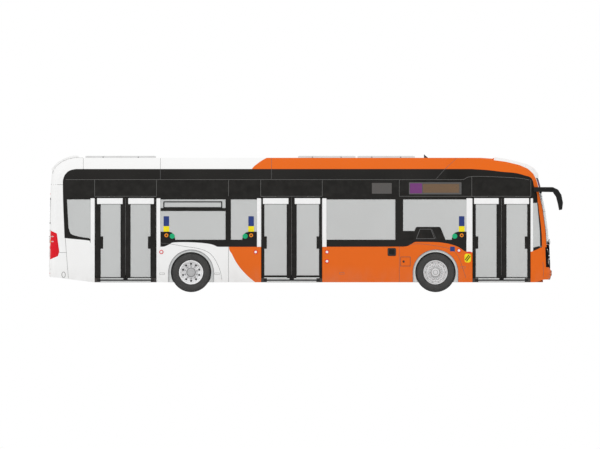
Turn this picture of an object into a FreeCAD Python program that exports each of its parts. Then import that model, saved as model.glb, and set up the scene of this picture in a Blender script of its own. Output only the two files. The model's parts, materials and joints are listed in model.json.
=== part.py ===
"""City bus, 12 m, low floor, two axles and three double doors on the kerb side.

Millimetres. +X is forward, +Y is the driver's (left) side, +Z is up, and Z = 0 is the ground.
Lengths along the bus are given from the rear bumper and shifted once, by `at`, so that the
origin lies on the ground below the middle of the whole vehicle, mirrors included.
"""
import FreeCAD
import Part

import math
import os

V = FreeCAD.Vector

# ---------------------------------------------------------------- driving dimensions
WIDTH = 2550.0
REAR_OVERHANG = 3430.0
WHEELBASE = 5900.0
FRONT_OVERHANG = 2805.0
MIRROR_REACH = 273.0        # how far the mirrors stand ahead of the front bumper
MIRROR_SIDE = 215.0         # how far they stand out beyond each side

SKIRT_Z = 238.0             # bottom edge of the side panels
FLOOR_TOP = 315.0
FLOOR_THICK = 25.0
SILL_Z = 1266.0             # bottom of the side glass
WINDOW_TOP = 2237.0
DOOR_TOP = 2309.0           # underside of the cantrail
GUTTER_Z = 2717.0           # top of the cantrail, where the roof cove starts
ROOF_Z = 3243.0             # top of the roof fairings
COVE_FLAT = 114.0           # how much larger the roof cove's radius is than its rise
WALL = 55.0                 # side wall
SHELL = 45.0                # front and rear mouldings, roof fairings
GLASS = 8.0
GAP = 0.5                   # glass and fixed trim to the edge that holds them
LID_GAP = 6.0               # round a lid that opens

TYRE_R = 478.0
TYRE_W = 276.0
RIM_R = 286.0               # bead seat
RIM_WALL = 20.0
TYRE_INSET = 47.0           # outer tyre face to the body side
TWIN_PITCH = 306.0          # between the centres of twin tyres
ARCH_R = 545.0
HOUSING_R = 560.0           # inside the wheel housings
HOUSING_WALL = 12.0
FRONT_HOUSING_IN = 630.0    # distance of the housings' inner walls from the centre line
REAR_HOUSING_IN = 600.0

REAR_DOOR_X = 1101.0        # rear jambs, from the rear bumper
MID_DOOR_X = 5120.0
FRONT_POST = 509.0          # front jamb of the front door to the front bumper
REAR_DOOR_W, MID_DOOR_W, FRONT_DOOR_W = 1494.0, 1477.0, 1405.0
LEAF_THICK = 40.0
LEAF_EDGE = 14.0            # trailing edge to the jamb
LEAF_MEET = 12.0            # between the two leading edges
STILE_LEAD = 108.0          # leaf frame at the meeting side
LEAF_HEAD = 181.0           # solid band at the top of a leaf
POST_S = -30.0              # turning post, from the jamb, behind the side wall
POST_D = 83.0               # turning post, from the outer face of the wall
POST_R = 22.0
ARM = 383.0                 # turning post to leaf pivot
ARM_THICK = 12.0
ARM_CLEAR = 5.5             # above and below an arm
PIN_R = 10.0
RUN = 0.08                  # radial running clearance of pins and spindles
LEAF_TOP = DOOR_TOP - 8.0
LEAF_BOTTOM = FLOOR_TOP + ARM_THICK + 2 * ARM_CLEAR

REAR_MODULE = 400.0         # length of the rear moulding below the gutter
REAR_DOME = 828.0           # length of the rear roof moulding
FRONT_DOME_LENGTH = 2535.0  # length of the front roof moulding

LENGTH = REAR_OVERHANG + WHEELBASE + FRONT_OVERHANG
HALF = WIDTH / 2
INNER = HALF - WALL
AXLE_R = REAR_OVERHANG
AXLE_F = REAR_OVERHANG + WHEELBASE
MIDDLE = (LENGTH + MIRROR_REACH) / 2
FRONT_MODULE = LENGTH - FRONT_POST
FRONT_DOME = LENGTH - FRONT_DOME_LENGTH
ROOF_RISE = ROOF_Z - GUTTER_Z
COVE_R = ROOF_RISE + COVE_FLAT      # radius of the roof cove in cross-section
DOORS = {                   # name: (rear jamb, width, leaf frame at the jamb, its bottom rail)
    "rear": (REAR_DOOR_X, REAR_DOOR_W, 126.0, 18.0),
    "mid": (MID_DOOR_X, MID_DOOR_W, 58.0, 60.0),
    "front": (FRONT_MODULE - FRONT_DOOR_W, FRONT_DOOR_W, 60.0, 18.0),
}
MID_DOOR_END = MID_DOOR_X + MID_DOOR_W
FRONT_DOOR_X = DOORS["front"][0]


def at(along):
    """Row X of a distance from the rear bumper."""
    return along - MIDDLE


# ---------------------------------------------------------------- small helpers
def box(x0, x1, y0, y1, z0, z1):
    return Part.makeBox(x1 - x0, y1 - y0, z1 - z0, V(at(x0), y0, z0))


def cyl_y(r, along, z, y0, y1):
    return Part.makeCylinder(r, y1 - y0, V(at(along), y0, z), V(0, 1, 0))


def cyl_z(r, along, y, z0, z1):
    return Part.makeCylinder(r, z1 - z0, V(at(along), y, z0), V(0, 0, 1))


def prism_xz(points, y0, y1):
    """Prism of a side-view outline, given as (along, z)."""
    wire = Part.makePolygon([V(at(x), y0, z) for x, z in points + points[:1]])
    return Part.Face(wire).extrude(V(0, y1 - y0, 0))


def prism_yz(points, x0, x1):
    """Prism of an end-view outline, given as (y, z)."""
    wire = Part.makePolygon([V(at(x0), y, z) for y, z in points + points[:1]])
    return Part.Face(wire).extrude(V(x1 - x0, 0, 0))


def mirrored(shape):
    """The same shape on the other side of the bus."""
    return shape.mirror(V(0, 0, 0), V(0, 1, 0))


def fused(shapes):
    whole = shapes[0].multiFuse(shapes[1:]) if len(shapes) > 1 else shapes[0]
    return whole.removeSplitter()


def arch_outline(along, radius, foot, grow=0.0):
    """Wheel arch as a face at y = 0: a half circle over the axle, straight down to foot."""
    r = radius + grow
    x = at(along)
    edges = [
        Part.Arc(V(x - r, 0, TYRE_R), V(x, 0, TYRE_R + r), V(x + r, 0, TYRE_R)).toShape(),
        Part.makeLine(V(x + r, 0, TYRE_R), V(x + r, 0, foot)),
        Part.makeLine(V(x + r, 0, foot), V(x - r, 0, foot)),
        Part.makeLine(V(x - r, 0, foot), V(x - r, 0, TYRE_R)),
    ]
    return Part.Face(Part.Wire(edges))


def arch(along, radius, foot, y0, y1, grow=0.0):
    face = arch_outline(along, radius, foot, grow)
    face.translate(V(0, y0, 0))
    return face.extrude(V(0, y1 - y0, 0))


# ---------------------------------------------------------------- outer form of the ends
def half_width(z):
    """Half the body's width at a height: flat sides, then the roof cove."""
    if z <= GUTTER_Z:
        return HALF
    rise = z - GUTTER_Z
    return HALF - COVE_R + math.sqrt(COVE_R ** 2 - rise ** 2)


def roof_level(share):
    """Height of a share of the roof's rise above the gutter."""
    return GUTTER_Z + share * ROOF_RISE


# Front: height, nose behind the bumper's at the centre line, bow of the face, corner radius.
FRONT_LEVELS = [
    (SKIRT_Z, 75, 45, 220),
    (305, 39, 45, 220),
    (467, 0, 50, 220),
    (560, 36, 45, 220),
    (1114, 58, 45, 220),
    (1500, 85, 45, 220),
    (2000, 155, 45, 220),
    (2450, 247, 50, 220),
    (roof_level(0), 320, 55, 230),
    (roof_level(0.27), 380, 65, 260),
    (roof_level(0.5), 480, 80, 300),
    (roof_level(0.67), 630, 90, 340),
    (roof_level(0.82), 885, 100, 360),
    (roof_level(0.94), 1255, 110, 360),
    (ROOF_Z, 1715, 120, 360),
]
# Rear: height, tail ahead of the bumper's at the centre line, bow, corner radius.
REAR_LEVELS = [
    (SKIRT_Z, 120, 20, 150),
    (373, 7, 20, 150),
    (700, 0, 20, 150),
    (1690, 19, 20, 150),
    (2470, 36, 20, 150),
    (roof_level(0), 52, 25, 160),
    (roof_level(0.25), 66, 30, 180),
    (roof_level(0.44), 85, 35, 200),
    (roof_level(0.63), 150, 40, 220),
    (roof_level(0.82), 270, 45, 220),
    (roof_level(0.94), 390, 50, 220),
    (ROOF_Z, 520, 55, 220),
]


def plan_wire(z, root, tip, bow, corner, half, forward, z_at):
    """Plan outline of an end at one height: three straight sides, two corners, a bowed face."""
    s = 1 if forward else -1
    edge = tip - s * bow
    turn = edge - s * corner
    c = math.cos(math.pi / 4)
    right_turn, right_edge = V(at(turn), -half, z_at), V(at(edge), -(half - corner), z_at)
    right_mid = V(at(turn + s * corner * c), -(half - corner + corner * c), z_at)
    left_turn, left_edge = V(at(turn), half, z_at), V(at(edge), half - corner, z_at)
    left_mid = V(at(turn + s * corner * c), half - corner + corner * c, z_at)
    root_right, root_left = V(at(root), -half, z_at), V(at(root), half, z_at)
    return Part.Wire([
        Part.makeLine(root_right, right_turn),
        Part.Arc(right_turn, right_mid, right_edge).toShape(),
        Part.Arc(right_edge, V(at(tip), 0, z_at), left_edge).toShape(),
        Part.Arc(left_edge, left_mid, left_turn).toShape(),
        Part.makeLine(left_turn, root_left),
        Part.makeLine(root_left, root_right),
    ])


def end_form(levels, root, forward, inset=0.0, foot=0.0):
    """Solid form of an end, lofted in straight lines between its levels, inset all round."""
    s = 1 if forward else -1
    wires = []
    for i, (z, setback, bow, corner) in enumerate(levels):
        tip = LENGTH - setback if forward else setback
        over = max(0.0, (z - GUTTER_Z) / ROOF_RISE)
        z_at = z - inset * over
        if i == 0:
            z_at -= foot
        wires.append(plan_wire(
            z, root, tip - s * inset * (1 + over), bow, corner - inset / 2,
            half_width(z) - inset, forward, z_at,
        ))
    return Part.makeLoft(wires, True, True)


# Roof hoods in the middle of each end: setback behind the bumper's, height.
HOOD_HALF = 900.0
HOOD_SINK = 80.0            # how far a hood reaches into the moulding, whose room is cut out later
FRONT_HOOD = [(328, roof_level(0.06)), (316, roof_level(0.18)), (328, roof_level(0.28)),
              (427, roof_level(0.53)), (588, roof_level(0.7)), (871, roof_level(0.85)),
              (1154, roof_level(0.97)), (1364, roof_level(1.03)), (1425, roof_level(0.97))]
REAR_HOOD = [(76, roof_level(0.35)), (64, roof_level(0.5)), (140, roof_level(0.66)),
             (221, roof_level(0.82)), (378, roof_level(0.98)), (489, roof_level(1.07)),
             (637, roof_level(1.11)), (693, roof_level(1.1)), (748, roof_level(0.99))]


def hood(levels, line, forward):
    """A hood's outline, closed by a line in the room below the moulding."""
    end, top = line[-1]
    under = [(setback + bow + HOOD_SINK, z - HOOD_SINK) for z, setback, bow, _ in levels]
    under = [(x, z) for x, z in under if z > line[0][1] and x < end]
    outline = line + [(end, top - HOOD_SINK)] + under[::-1]
    if forward:
        outline = [(LENGTH - x, z) for x, z in outline]
    return prism_xz(outline, -HOOD_HALF, HOOD_HALF)


FRONT_ROOT, REAR_ROOT = FRONT_DOME - 600, REAR_DOME + 672
front_outer = end_form(FRONT_LEVELS, FRONT_ROOT, True)
front_inner = end_form(FRONT_LEVELS, FRONT_ROOT - 1, True, SHELL, 50.0)
front_glass_inner = end_form(FRONT_LEVELS, FRONT_ROOT - 1, True, GLASS + 4, 50.0)
rear_outer = end_form(REAR_LEVELS, REAR_ROOT, False)
rear_inner = end_form(REAR_LEVELS, REAR_ROOT + 1, False, SHELL, 50.0)
rear_glass_inner = end_form(REAR_LEVELS, REAR_ROOT + 1, False, GLASS + 4, 50.0)
front_room = end_form(FRONT_LEVELS, FRONT_ROOT - 1, True, SHELL + 2, 50.0)
rear_room = end_form(REAR_LEVELS, REAR_ROOT + 1, False, SHELL + 2, 50.0)
HIGH = ROOF_Z + 100

parts = {}

# ---------------------------------------------------------------- front moulding
WS_BOTTOM, WS_TOP, WS_HALF = 1150.0, 2470.0, 1150.0
QUARTER = [(LENGTH - back, z) for back, z in
           ((451, 1030), (255, 1085), (267, 1500), (329, 2154), (451, 2154))]
LAMP_FRONT = [(640, 700), (760, 600), (1200, 600), (1200, 1090), (1000, 1060), (700, 860)]
FRONT_CUT = [(LENGTH - back, z) for back, z in
             ((535, 0), (-165, 0), (-165, 303), (186, 303), (397, SKIRT_Z), (535, SKIRT_Z))]


def grown(points, by):
    """A convex outline with every side moved out by a distance, or in where it is negative."""
    n = len(points)
    area = sum(points[i][0] * points[(i + 1) % n][1] - points[(i + 1) % n][0] * points[i][1]
               for i in range(n))
    turn = 1 if area > 0 else -1
    lines = []
    for i in range(n):
        (x0, z0), (x1, z1) = points[i], points[(i + 1) % n]
        length = math.hypot(x1 - x0, z1 - z0)
        nx, nz = turn * (z1 - z0) / length, -turn * (x1 - x0) / length
        lines.append((nx, nz, nx * x0 + nz * z0 + by))
    moved = []
    for i in range(n):
        a, b, c = lines[i - 1]
        d, e, f = lines[i]
        det = a * e - b * d
        moved.append(((c * e - b * f) / det, (a * f - c * d) / det))
    return moved


def front_zone():
    """Where the front moulding is: ahead of the front door, and the roof dome above it."""
    low = box(FRONT_MODULE, LENGTH + 50, -HALF - 50, HALF + 50, 0, GUTTER_Z)
    dome = box(FRONT_DOME, LENGTH + 50, -HALF - 50, HALF + 50, GUTTER_Z, HIGH)
    return low.fuse(dome)


windscreen_hole = box(FRONT_MODULE, LENGTH + 50, -WS_HALF, WS_HALF, WS_BOTTOM, WS_TOP)
front = front_outer.cut(front_inner).common(front_zone())
front = front.fuse(hood(FRONT_LEVELS, FRONT_HOOD, True).cut(front_inner))
front = front.cut(windscreen_hole).cut(prism_xz(FRONT_CUT, -HALF - 50, HALF + 50))
for side in (-1, 1):
    near, far = sorted((side * (HALF - 250), side * (HALF + 50)))
    front = front.cut(prism_xz(QUARTER, near, far))
    lamp = [(side * y, z) for y, z in LAMP_FRONT]
    front = front.cut(prism_yz(lamp, FRONT_MODULE + 74, LENGTH + 50))
parts["front_moulding"] = front

skin = front_outer.cut(front_glass_inner)
parts["windscreen"] = skin.common(
    box(FRONT_MODULE + 50, LENGTH + 50, -WS_HALF + GAP, WS_HALF - GAP, WS_BOTTOM + GAP, WS_TOP - GAP))
lamp_skin = front_outer.cut(end_form(FRONT_LEVELS, FRONT_ROOT - 1, True, SHELL - 10, 50.0))
lamps = []
for side in (-1, 1):
    lamp = [(side * y, z) for y, z in grown(LAMP_FRONT, -GAP)]
    lamps.append(lamp_skin.common(prism_yz(lamp, FRONT_MODULE + 124, LENGTH + 50)))
parts["headlamps"] = Part.Compound(lamps)

# ---------------------------------------------------------------- rear moulding, lid and lamps
TAIL_LAMP = [(-40, 1500), (36, 1488), (190, 1418), (249, 980), (215, 870), (-40, 760)]
TAIL_LAMP_IN = 1080.0
LID_HALF, LID_BOTTOM, LID_TOP = 900.0, 560.0, 1480.0
LID_AXIS_X = 9.0            # hinge axis, just outside the skin
LID_HINGES = (-520.0, 520.0)
HINGE_R, HINGE_PIN_R = 8.0, 4.0
REAR_WIN = [(-960, 1640), (960, 1640), (980, 2280), (-980, 2280)]
REAR_CUT = [(-60, 0), (2000, 0), (2000, 238), (1080, 238), (470, 313), (-60, 383)]


def rear_zone():
    low = box(-60, REAR_MODULE, -HALF - 50, HALF + 50, 0, GUTTER_Z)
    dome = box(-60, REAR_DOME, -HALF - 50, HALF + 50, GUTTER_Z, HIGH)
    return low.fuse(dome)


rear = rear_outer.cut(rear_inner).common(rear_zone())
rear = rear.fuse(hood(REAR_LEVELS, REAR_HOOD, False).cut(rear_inner))
rear = rear.cut(prism_xz(REAR_CUT, -HALF - 50, HALF + 50))
rear = rear.cut(prism_yz(REAR_WIN, -60, 300))
rear = rear.cut(box(-60, 300, -LID_HALF, LID_HALF, LID_BOTTOM, LID_TOP))
for side in (-1, 1):
    near, far = sorted((side * TAIL_LAMP_IN, side * (HALF + 50)))
    rear = rear.cut(prism_xz(TAIL_LAMP, near, far))
rear_skin = rear_outer.cut(rear_glass_inner)
rear_pane = rear_skin.common(prism_yz(grown(REAR_WIN, -GAP), -60, 300))
lid_shell = rear_outer.cut(end_form(REAR_LEVELS, REAR_ROOT + 1, False, 30.0, 50.0))
lid = lid_shell.common(
    box(-60, 300, -LID_HALF + LID_GAP, LID_HALF - LID_GAP, LID_BOTTOM + LID_GAP, LID_TOP - LID_GAP))
for y in LID_HINGES:
    rear = rear.fuse(box(LID_AXIS_X, 45, y - 20, y + 20, LID_TOP + 2, LID_TOP + 30))
    rear = rear.fuse(cyl_y(HINGE_R, LID_AXIS_X, LID_TOP, y - 20, y + 20))
    rear = rear.cut(cyl_y(HINGE_PIN_R + RUN, LID_AXIS_X, LID_TOP, y - 25, y + 25))
    lid = lid.fuse(cyl_y(HINGE_PIN_R, LID_AXIS_X, LID_TOP, y - 52, y + 52))
    for near, far in ((y - 52, y - 21), (y + 21, y + 52)):
        lid = lid.fuse(cyl_y(HINGE_R, LID_AXIS_X, LID_TOP, near, far))
        lid = lid.fuse(box(LID_AXIS_X, 45, near, far, LID_TOP - 30, LID_TOP - 2))
        rear = rear.cut(box(LID_AXIS_X - 20, 60, near - 5, far + 5, LID_TOP - 40, LID_TOP + 16))
parts["rear_moulding"] = rear.removeSplitter()
parts["rear_lid"] = lid.removeSplitter()
tails = []
tail_skin = rear_outer.cut(end_form(REAR_LEVELS, REAR_ROOT + 1, False, SHELL - 10, 50.0))
for side in (-1, 1):
    near, far = sorted((side * (TAIL_LAMP_IN + GAP), side * (HALF + 50)))
    tails.append(tail_skin.common(prism_xz(grown(TAIL_LAMP, -GAP), near, far)))
parts["tail_lamps"] = Part.Compound(tails)

# ---------------------------------------------------------------- side walls
# Kerb side glass: outline as (along, z), counted from the rear.
WIN_REAR = [(434, WINDOW_TOP), (470, 1560), (540, 1340), (REAR_DOOR_X - 101, 1290),
            (REAR_DOOR_X - 101, WINDOW_TOP)]


def pane_outline(x0, x1, sill=SILL_Z):
    return [(x0, sill), (x1, sill), (x1, WINDOW_TOP), (x0, WINDOW_TOP)]


KERB_BAYS = {               # name: (from, to, window outlines)
    "rear_bay": (REAR_MODULE, REAR_DOOR_X, [WIN_REAR]),
    "rear_axle_bay": (REAR_DOOR_X + REAR_DOOR_W, MID_DOOR_X, [
        pane_outline(REAR_DOOR_X + REAR_DOOR_W + 97, MID_DOOR_X - 858),
        pane_outline(MID_DOOR_X - 729, MID_DOOR_X - 99)]),
    "front_axle_bay": (MID_DOOR_END, FRONT_DOOR_X, [
        pane_outline(MID_DOOR_END + 103, FRONT_DOOR_X - 1861),
        pane_outline(FRONT_DOOR_X - 1673, FRONT_DOOR_X - 141)]),
}
# Driver's side glass: like panes from the rear moulding to the cab, then the cab's own.
SALOON_PANES = 6
PILLAR = 130.0
pane_run = FRONT_DOOR_X - 141 - (REAR_MODULE + 140)
pane_w = (pane_run - PILLAR * (SALOON_PANES - 1)) / SALOON_PANES
driver_panes = []
for i in range(SALOON_PANES):
    pane_x = REAR_MODULE + 140 + i * (pane_w + PILLAR)
    driver_panes.append(pane_outline(pane_x, pane_x + pane_w))
driver_panes.append(pane_outline(FRONT_MODULE - 1326, FRONT_MODULE - 146, 1080.0))
CHARGE_LID = (AXLE_F - 842, AXLE_F - 608, 631.0, 848.0)     # from, to, bottom, top
CHARGE_POCKET = 40.0
CHARGE_PIN_R, CHARGE_PIN_SEAT = 3.0, 10.0
SOCKET_R, SOCKET_BORE_R, SOCKET_Y, SOCKET_DEPTH = 38.0, 30.0, 16.0, 20.0
LID_THICK = 8.0


def wall_blank(x0, x1, z0, z1, side):
    near, far = sorted((side * INNER, side * HALF))
    blank = box(x0, x1, near, far, z0, z1)
    for axle in (AXLE_R, AXLE_F):
        if x0 < axle < x1:
            blank = blank.cut(arch(axle, ARCH_R, 0, near - 5, far + 5))
    return blank.cut(prism_xz(REAR_CUT, near - 5, far + 5))


right_walls, panes = [], [rear_pane]
for bay, (x0, x1, outlines) in KERB_BAYS.items():
    wall = wall_blank(x0, x1, SKIRT_Z, DOOR_TOP, -1)
    for outline in outlines:
        wall = wall.cut(prism_xz(outline, -HALF - 5, -INNER + 5))
        panes.append(prism_xz(grown(outline, -GAP), -HALF + 4, -HALF + 4 + GLASS))
    if bay == "front_axle_bay":
        a, b, c, d = CHARGE_LID
        wall = wall.cut(box(a, b, -HALF - 1, -HALF + CHARGE_POCKET, c, d))
        lid = box(a + LID_GAP, b - LID_GAP, -HALF, -HALF + LID_THICK, c + LID_GAP, d - LID_GAP)
        axis = (a + LID_GAP + LID_THICK / 2, -HALF + LID_THICK / 2)
        pin_z = (c - CHARGE_PIN_SEAT, d + CHARGE_PIN_SEAT)
        parts["charge_lid"] = lid.fuse(cyl_z(CHARGE_PIN_R, *axis, *pin_z)).removeSplitter()
        wall = wall.cut(cyl_z(CHARGE_PIN_R + RUN, *axis, pin_z[0] - 1, pin_z[1] + 1))
        middle = ((a + b) / 2, (c + d) / 2)
        socket = cyl_y(SOCKET_R, *middle, -HALF + SOCKET_Y, -HALF + CHARGE_POCKET)
        socket = socket.cut(cyl_y(SOCKET_BORE_R, *middle, -HALF + SOCKET_Y - 1,
                                  -HALF + SOCKET_Y + SOCKET_DEPTH))
        parts["charge_socket"] = socket
    right_walls.append(wall)
parts["kerb_wall"] = Part.Compound(right_walls)

left_wall = wall_blank(REAR_MODULE, FRONT_MODULE, SKIRT_Z, DOOR_TOP, 1)
for outline in driver_panes:
    left_wall = left_wall.cut(prism_xz(outline, INNER - 5, HALF + 5))
    panes.append(prism_xz(grown(outline, -GAP), HALF - 4 - GLASS, HALF - 4))
parts["driver_side_wall"] = left_wall
for side in (-1, 1):
    near, far = sorted((side * (HALF - 250), side * (HALF + 50)))
    panes.append(skin.common(prism_xz(grown(QUARTER, -GAP), near, far)))
parts["side_glass"] = Part.Compound(panes)

cantrail = box(REAR_MODULE, FRONT_MODULE, -HALF, -INNER, DOOR_TOP, GUTTER_Z)
parts["cantrails"] = Part.Compound([cantrail, mirrored(cantrail)])

# ---------------------------------------------------------------- roof
DECK = 40.0
DECK_HALF = INNER + 4
FAN_R = 230.0
UNIT_TALL, UNIT_LOW = 42.0, -48.0       # top of a unit above the roof fairings
UNIT_CHAMFER, UNIT_SLOPE = 90.0, 110.0  # height and width of the slope at a unit's top edges
UNIT_GAP = 70.0                         # between a unit's side and the fairing at that height
SIDE_RISE = ROOF_RISE + UNIT_TALL - UNIT_CHAMFER
UNIT_HALF = HALF - COVE_R + math.sqrt((COVE_R - SHELL) ** 2 - SIDE_RISE ** 2) - UNIT_GAP
REAR_COOLER = (REAR_DOME + 52, REAR_DOME + 1755)
FRONT_COOLER = (FRONT_DOME - 3589, FRONT_DOME - 765)
BATTERY_BOXES, REAR_FANS, FRONT_FANS = 3, 3, 2
UNIT_SPACE = 60.0
box_run = FRONT_COOLER[0] - REAR_COOLER[1] - UNIT_SPACE
box_length = box_run / BATTERY_BOXES - UNIT_SPACE
cooler_half = (FRONT_COOLER[0] + FRONT_COOLER[1]) / 2
# Roof equipment between the fairings: from, to, top above the fairings, number of fans
ROOF_UNITS = [
    (FRONT_COOLER[1] + UNIT_SPACE, FRONT_DOME - UNIT_SPACE, UNIT_LOW, 0),
    (*REAR_COOLER, UNIT_TALL, REAR_FANS),
    (FRONT_COOLER[0], cooler_half - 23, UNIT_TALL, FRONT_FANS),
    (cooler_half + 23, FRONT_COOLER[1], UNIT_TALL, FRONT_FANS),
]
for i in range(BATTERY_BOXES):
    box_x = REAR_COOLER[1] + UNIT_SPACE + i * (box_length + UNIT_SPACE)
    ROOF_UNITS.append((box_x, box_x + box_length, UNIT_LOW, 0))


def fairing_face(x):
    """Cross-section of a kerb side roof fairing, from the cantrail up to the roof edge."""
    centre = HALF - COVE_R

    def on_arc(r, rise):
        return V(at(x), -(centre + math.sqrt(r ** 2 - rise ** 2)), GUTTER_Z + rise)

    outer = [on_arc(COVE_R, k * ROOF_RISE) for k in (0, 0.6, 1)]
    inner = [on_arc(COVE_R - SHELL, k * ROOF_RISE) for k in (1, 0.6, 0)]
    return Part.Face(Part.Wire([
        Part.Arc(*outer).toShape(), Part.makeLine(outer[-1], inner[0]),
        Part.Arc(*inner).toShape(), Part.makeLine(inner[-1], outer[0]),
    ]))


fairing = fairing_face(REAR_DOME).extrude(V(FRONT_DOME - REAR_DOME, 0, 0))
parts["roof_fairings"] = Part.Compound([fairing, mirrored(fairing)])
parts["roof_deck"] = box(REAR_MODULE + 5, FRONT_MODULE - 5, -DECK_HALF, DECK_HALF,
                         GUTTER_Z, GUTTER_Z + DECK)
units = []
for x0, x1, above, fans in ROOF_UNITS:
    base = GUTTER_Z + DECK
    top = ROOF_Z + above
    side, crown = top - UNIT_CHAMFER, UNIT_HALF - UNIT_SLOPE
    unit = prism_yz([(-UNIT_HALF, base), (UNIT_HALF, base), (UNIT_HALF, side),
                     (crown, top), (-crown, top), (-UNIT_HALF, side)], x0, x1)
    for i in range(fans):
        x = x0 + (x1 - x0) * (i + 0.5) / fans
        unit = unit.cut(cyl_z(FAN_R, x, 0, top - 35, top + 5))
        unit = unit.fuse(cyl_z(FAN_R * 0.3, x, 0, top - 36, top - 8))
    units.append(unit)
# Antenna fin on the front box, upright at its back and sloping down to the front
FIN_BACK, FIN_LONG, FIN_TALL, FIN_HALF = 155.0, 155.0, 135.0, 18.0
fin_x, fin_z = ROOF_UNITS[0][0] + FIN_BACK, ROOF_Z + UNIT_LOW
fin = prism_xz([(fin_x, fin_z - 5), (fin_x + FIN_LONG, fin_z - 5), (fin_x + FIN_LONG, fin_z),
                (fin_x, fin_z + FIN_TALL)], -FIN_HALF, FIN_HALF)
units[0] = units[0].fuse(fin)
parts["roof_units"] = Part.Compound(units)

# ---------------------------------------------------------------- floor, housings, underframe
FRAME_BOTTOM = SKIRT_Z + 2
FLOOR_UNDER = FLOOR_TOP - FLOOR_THICK
FLOOR_REAR = 665.0
RAIL_REAR = 1085.0
FLOOR_FRONT = LENGTH - 235
RAIL_FRONT = FLOOR_FRONT - 150
RAIL_Y, RAIL_W, RAIL_HIGH = 480.0, 80.0, 28.0
RAIL_TOP = FRAME_BOTTOM + RAIL_HIGH
FRONT_SEAT, REAR_SEAT = 60.0, 80.0  # half lengths of the axle mounts between the rails' ends
MEMBER_W = 60.0
ARCH_SPAN = HOUSING_R + HOUSING_WALL
HOUSING_TOP = TYRE_R + HOUSING_R + HOUSING_WALL


def housing(axle, inner_y):
    """Wheel housing on the kerb side: an arch-shaped tunnel, open to the outside and below."""
    outer = arch(axle, HOUSING_R, FRAME_BOTTOM, -INNER + GAP, -inner_y + HOUSING_WALL, HOUSING_WALL)
    return outer.cut(arch(axle, HOUSING_R, FRAME_BOTTOM - 5, -INNER - 5, -inner_y))


housings = [housing(AXLE_R, REAR_HOUSING_IN), housing(AXLE_F, FRONT_HOUSING_IN)]
parts["wheel_housings"] = Part.Compound(housings + [mirrored(h) for h in housings])
FLOOR_PANELS = [            # from, to, half width
    (FLOOR_REAR, AXLE_R - ARCH_SPAN, INNER),
    (AXLE_R - ARCH_SPAN, AXLE_R + ARCH_SPAN, REAR_HOUSING_IN - HOUSING_WALL),
    (AXLE_R + ARCH_SPAN, AXLE_F - ARCH_SPAN, INNER),
    (AXLE_F - ARCH_SPAN, AXLE_F + ARCH_SPAN, FRONT_HOUSING_IN - HOUSING_WALL),
    (AXLE_F + ARCH_SPAN, FLOOR_FRONT, INNER),
]
panels = [box(x0 + GAP, x1 - GAP, GAP - half, half - GAP, FLOOR_UNDER, FLOOR_TOP)
          for x0, x1, half in FLOOR_PANELS]
cabin_floor = box(0, FRONT_MODULE, -HALF, HALF, 0, HIGH).fuse(front_room)
panels[-1] = panels[-1].common(cabin_floor)
parts["floor"] = Part.Compound(panels)

RAIL_SPANS = [(RAIL_REAR, AXLE_R - REAR_SEAT), (AXLE_R + REAR_SEAT, AXLE_F - FRONT_SEAT),
              (AXLE_F + FRONT_SEAT, RAIL_FRONT)]
frame_bars = [box(x0, x1, y - RAIL_W / 2, y + RAIL_W / 2, FRAME_BOTTOM, RAIL_TOP)
              for x0, x1 in RAIL_SPANS for y in (-RAIL_Y, RAIL_Y)]
REAR_MEMBERS, MIDDLE_MEMBERS, FRONT_MEMBERS = 3, 6, 3
# Cross members lie on the rails: from, to, how many
MEMBER_RUNS = [
    (RAIL_REAR + 215, AXLE_R - ARCH_SPAN - 98, REAR_MEMBERS),
    (AXLE_R + ARCH_SPAN + 118, AXLE_F - ARCH_SPAN - 358, MIDDLE_MEMBERS),
    (AXLE_F + ARCH_SPAN + 138, RAIL_FRONT - 150, FRONT_MEMBERS),
]
for x0, x1, count in MEMBER_RUNS:
    for i in range(count):
        x = x0 + (x1 - x0) * i / (count - 1)
        frame_bars.append(box(x - MEMBER_W / 2, x + MEMBER_W / 2, GAP - INNER, INNER - GAP,
                              RAIL_TOP, FLOOR_UNDER))
for jamb, width, *_ in DOORS.values():
    frame_bars.append(box(jamb + GAP, jamb + width - GAP, -HALF, -INNER, SKIRT_Z, LEAF_BOTTOM - 6))
TOW_R, TOW_BORE_R, TOW_LENGTH, TOW_DEPTH = 25.0, 18.0, 175.0, 110.0
for y in (-RAIL_Y, RAIL_Y):
    start = V(at(RAIL_FRONT), y, FRAME_BOTTOM + TOW_R)
    mouth = start + V(TOW_LENGTH - TOW_DEPTH, 0, 0)
    tube = Part.makeCylinder(TOW_R, TOW_LENGTH, start, V(1, 0, 0))
    frame_bars.append(tube.cut(Part.makeCylinder(TOW_BORE_R, TOW_DEPTH + 1, mouth, V(1, 0, 0))))
parts["underframe"] = Part.Compound(frame_bars)

# ---------------------------------------------------------------- rear compartment and platform
PLATFORM_Z = 1035.0
PLATFORM_FRONT = 1030.0
skid = prism_xz([(FLOOR_REAR, FLOOR_TOP), (PLATFORM_FRONT - 25, FLOOR_TOP),
                 (PLATFORM_FRONT - 25, 400), (110, 400), (110, 388)], 460, 540)
platform = fused([
    box(40, PLATFORM_FRONT, -INNER + GAP, INNER - GAP, PLATFORM_Z - 25, PLATFORM_Z).common(rear_room),
    box(PLATFORM_FRONT - 25, PLATFORM_FRONT, -INNER + GAP, INNER - GAP, FLOOR_TOP, PLATFORM_Z),
    skid, mirrored(skid),
])
parts["rear_platform"] = platform
parts["rear_battery"] = box(130, PLATFORM_FRONT - 45, -800, 800, 400, PLATFORM_Z - 45)

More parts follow.
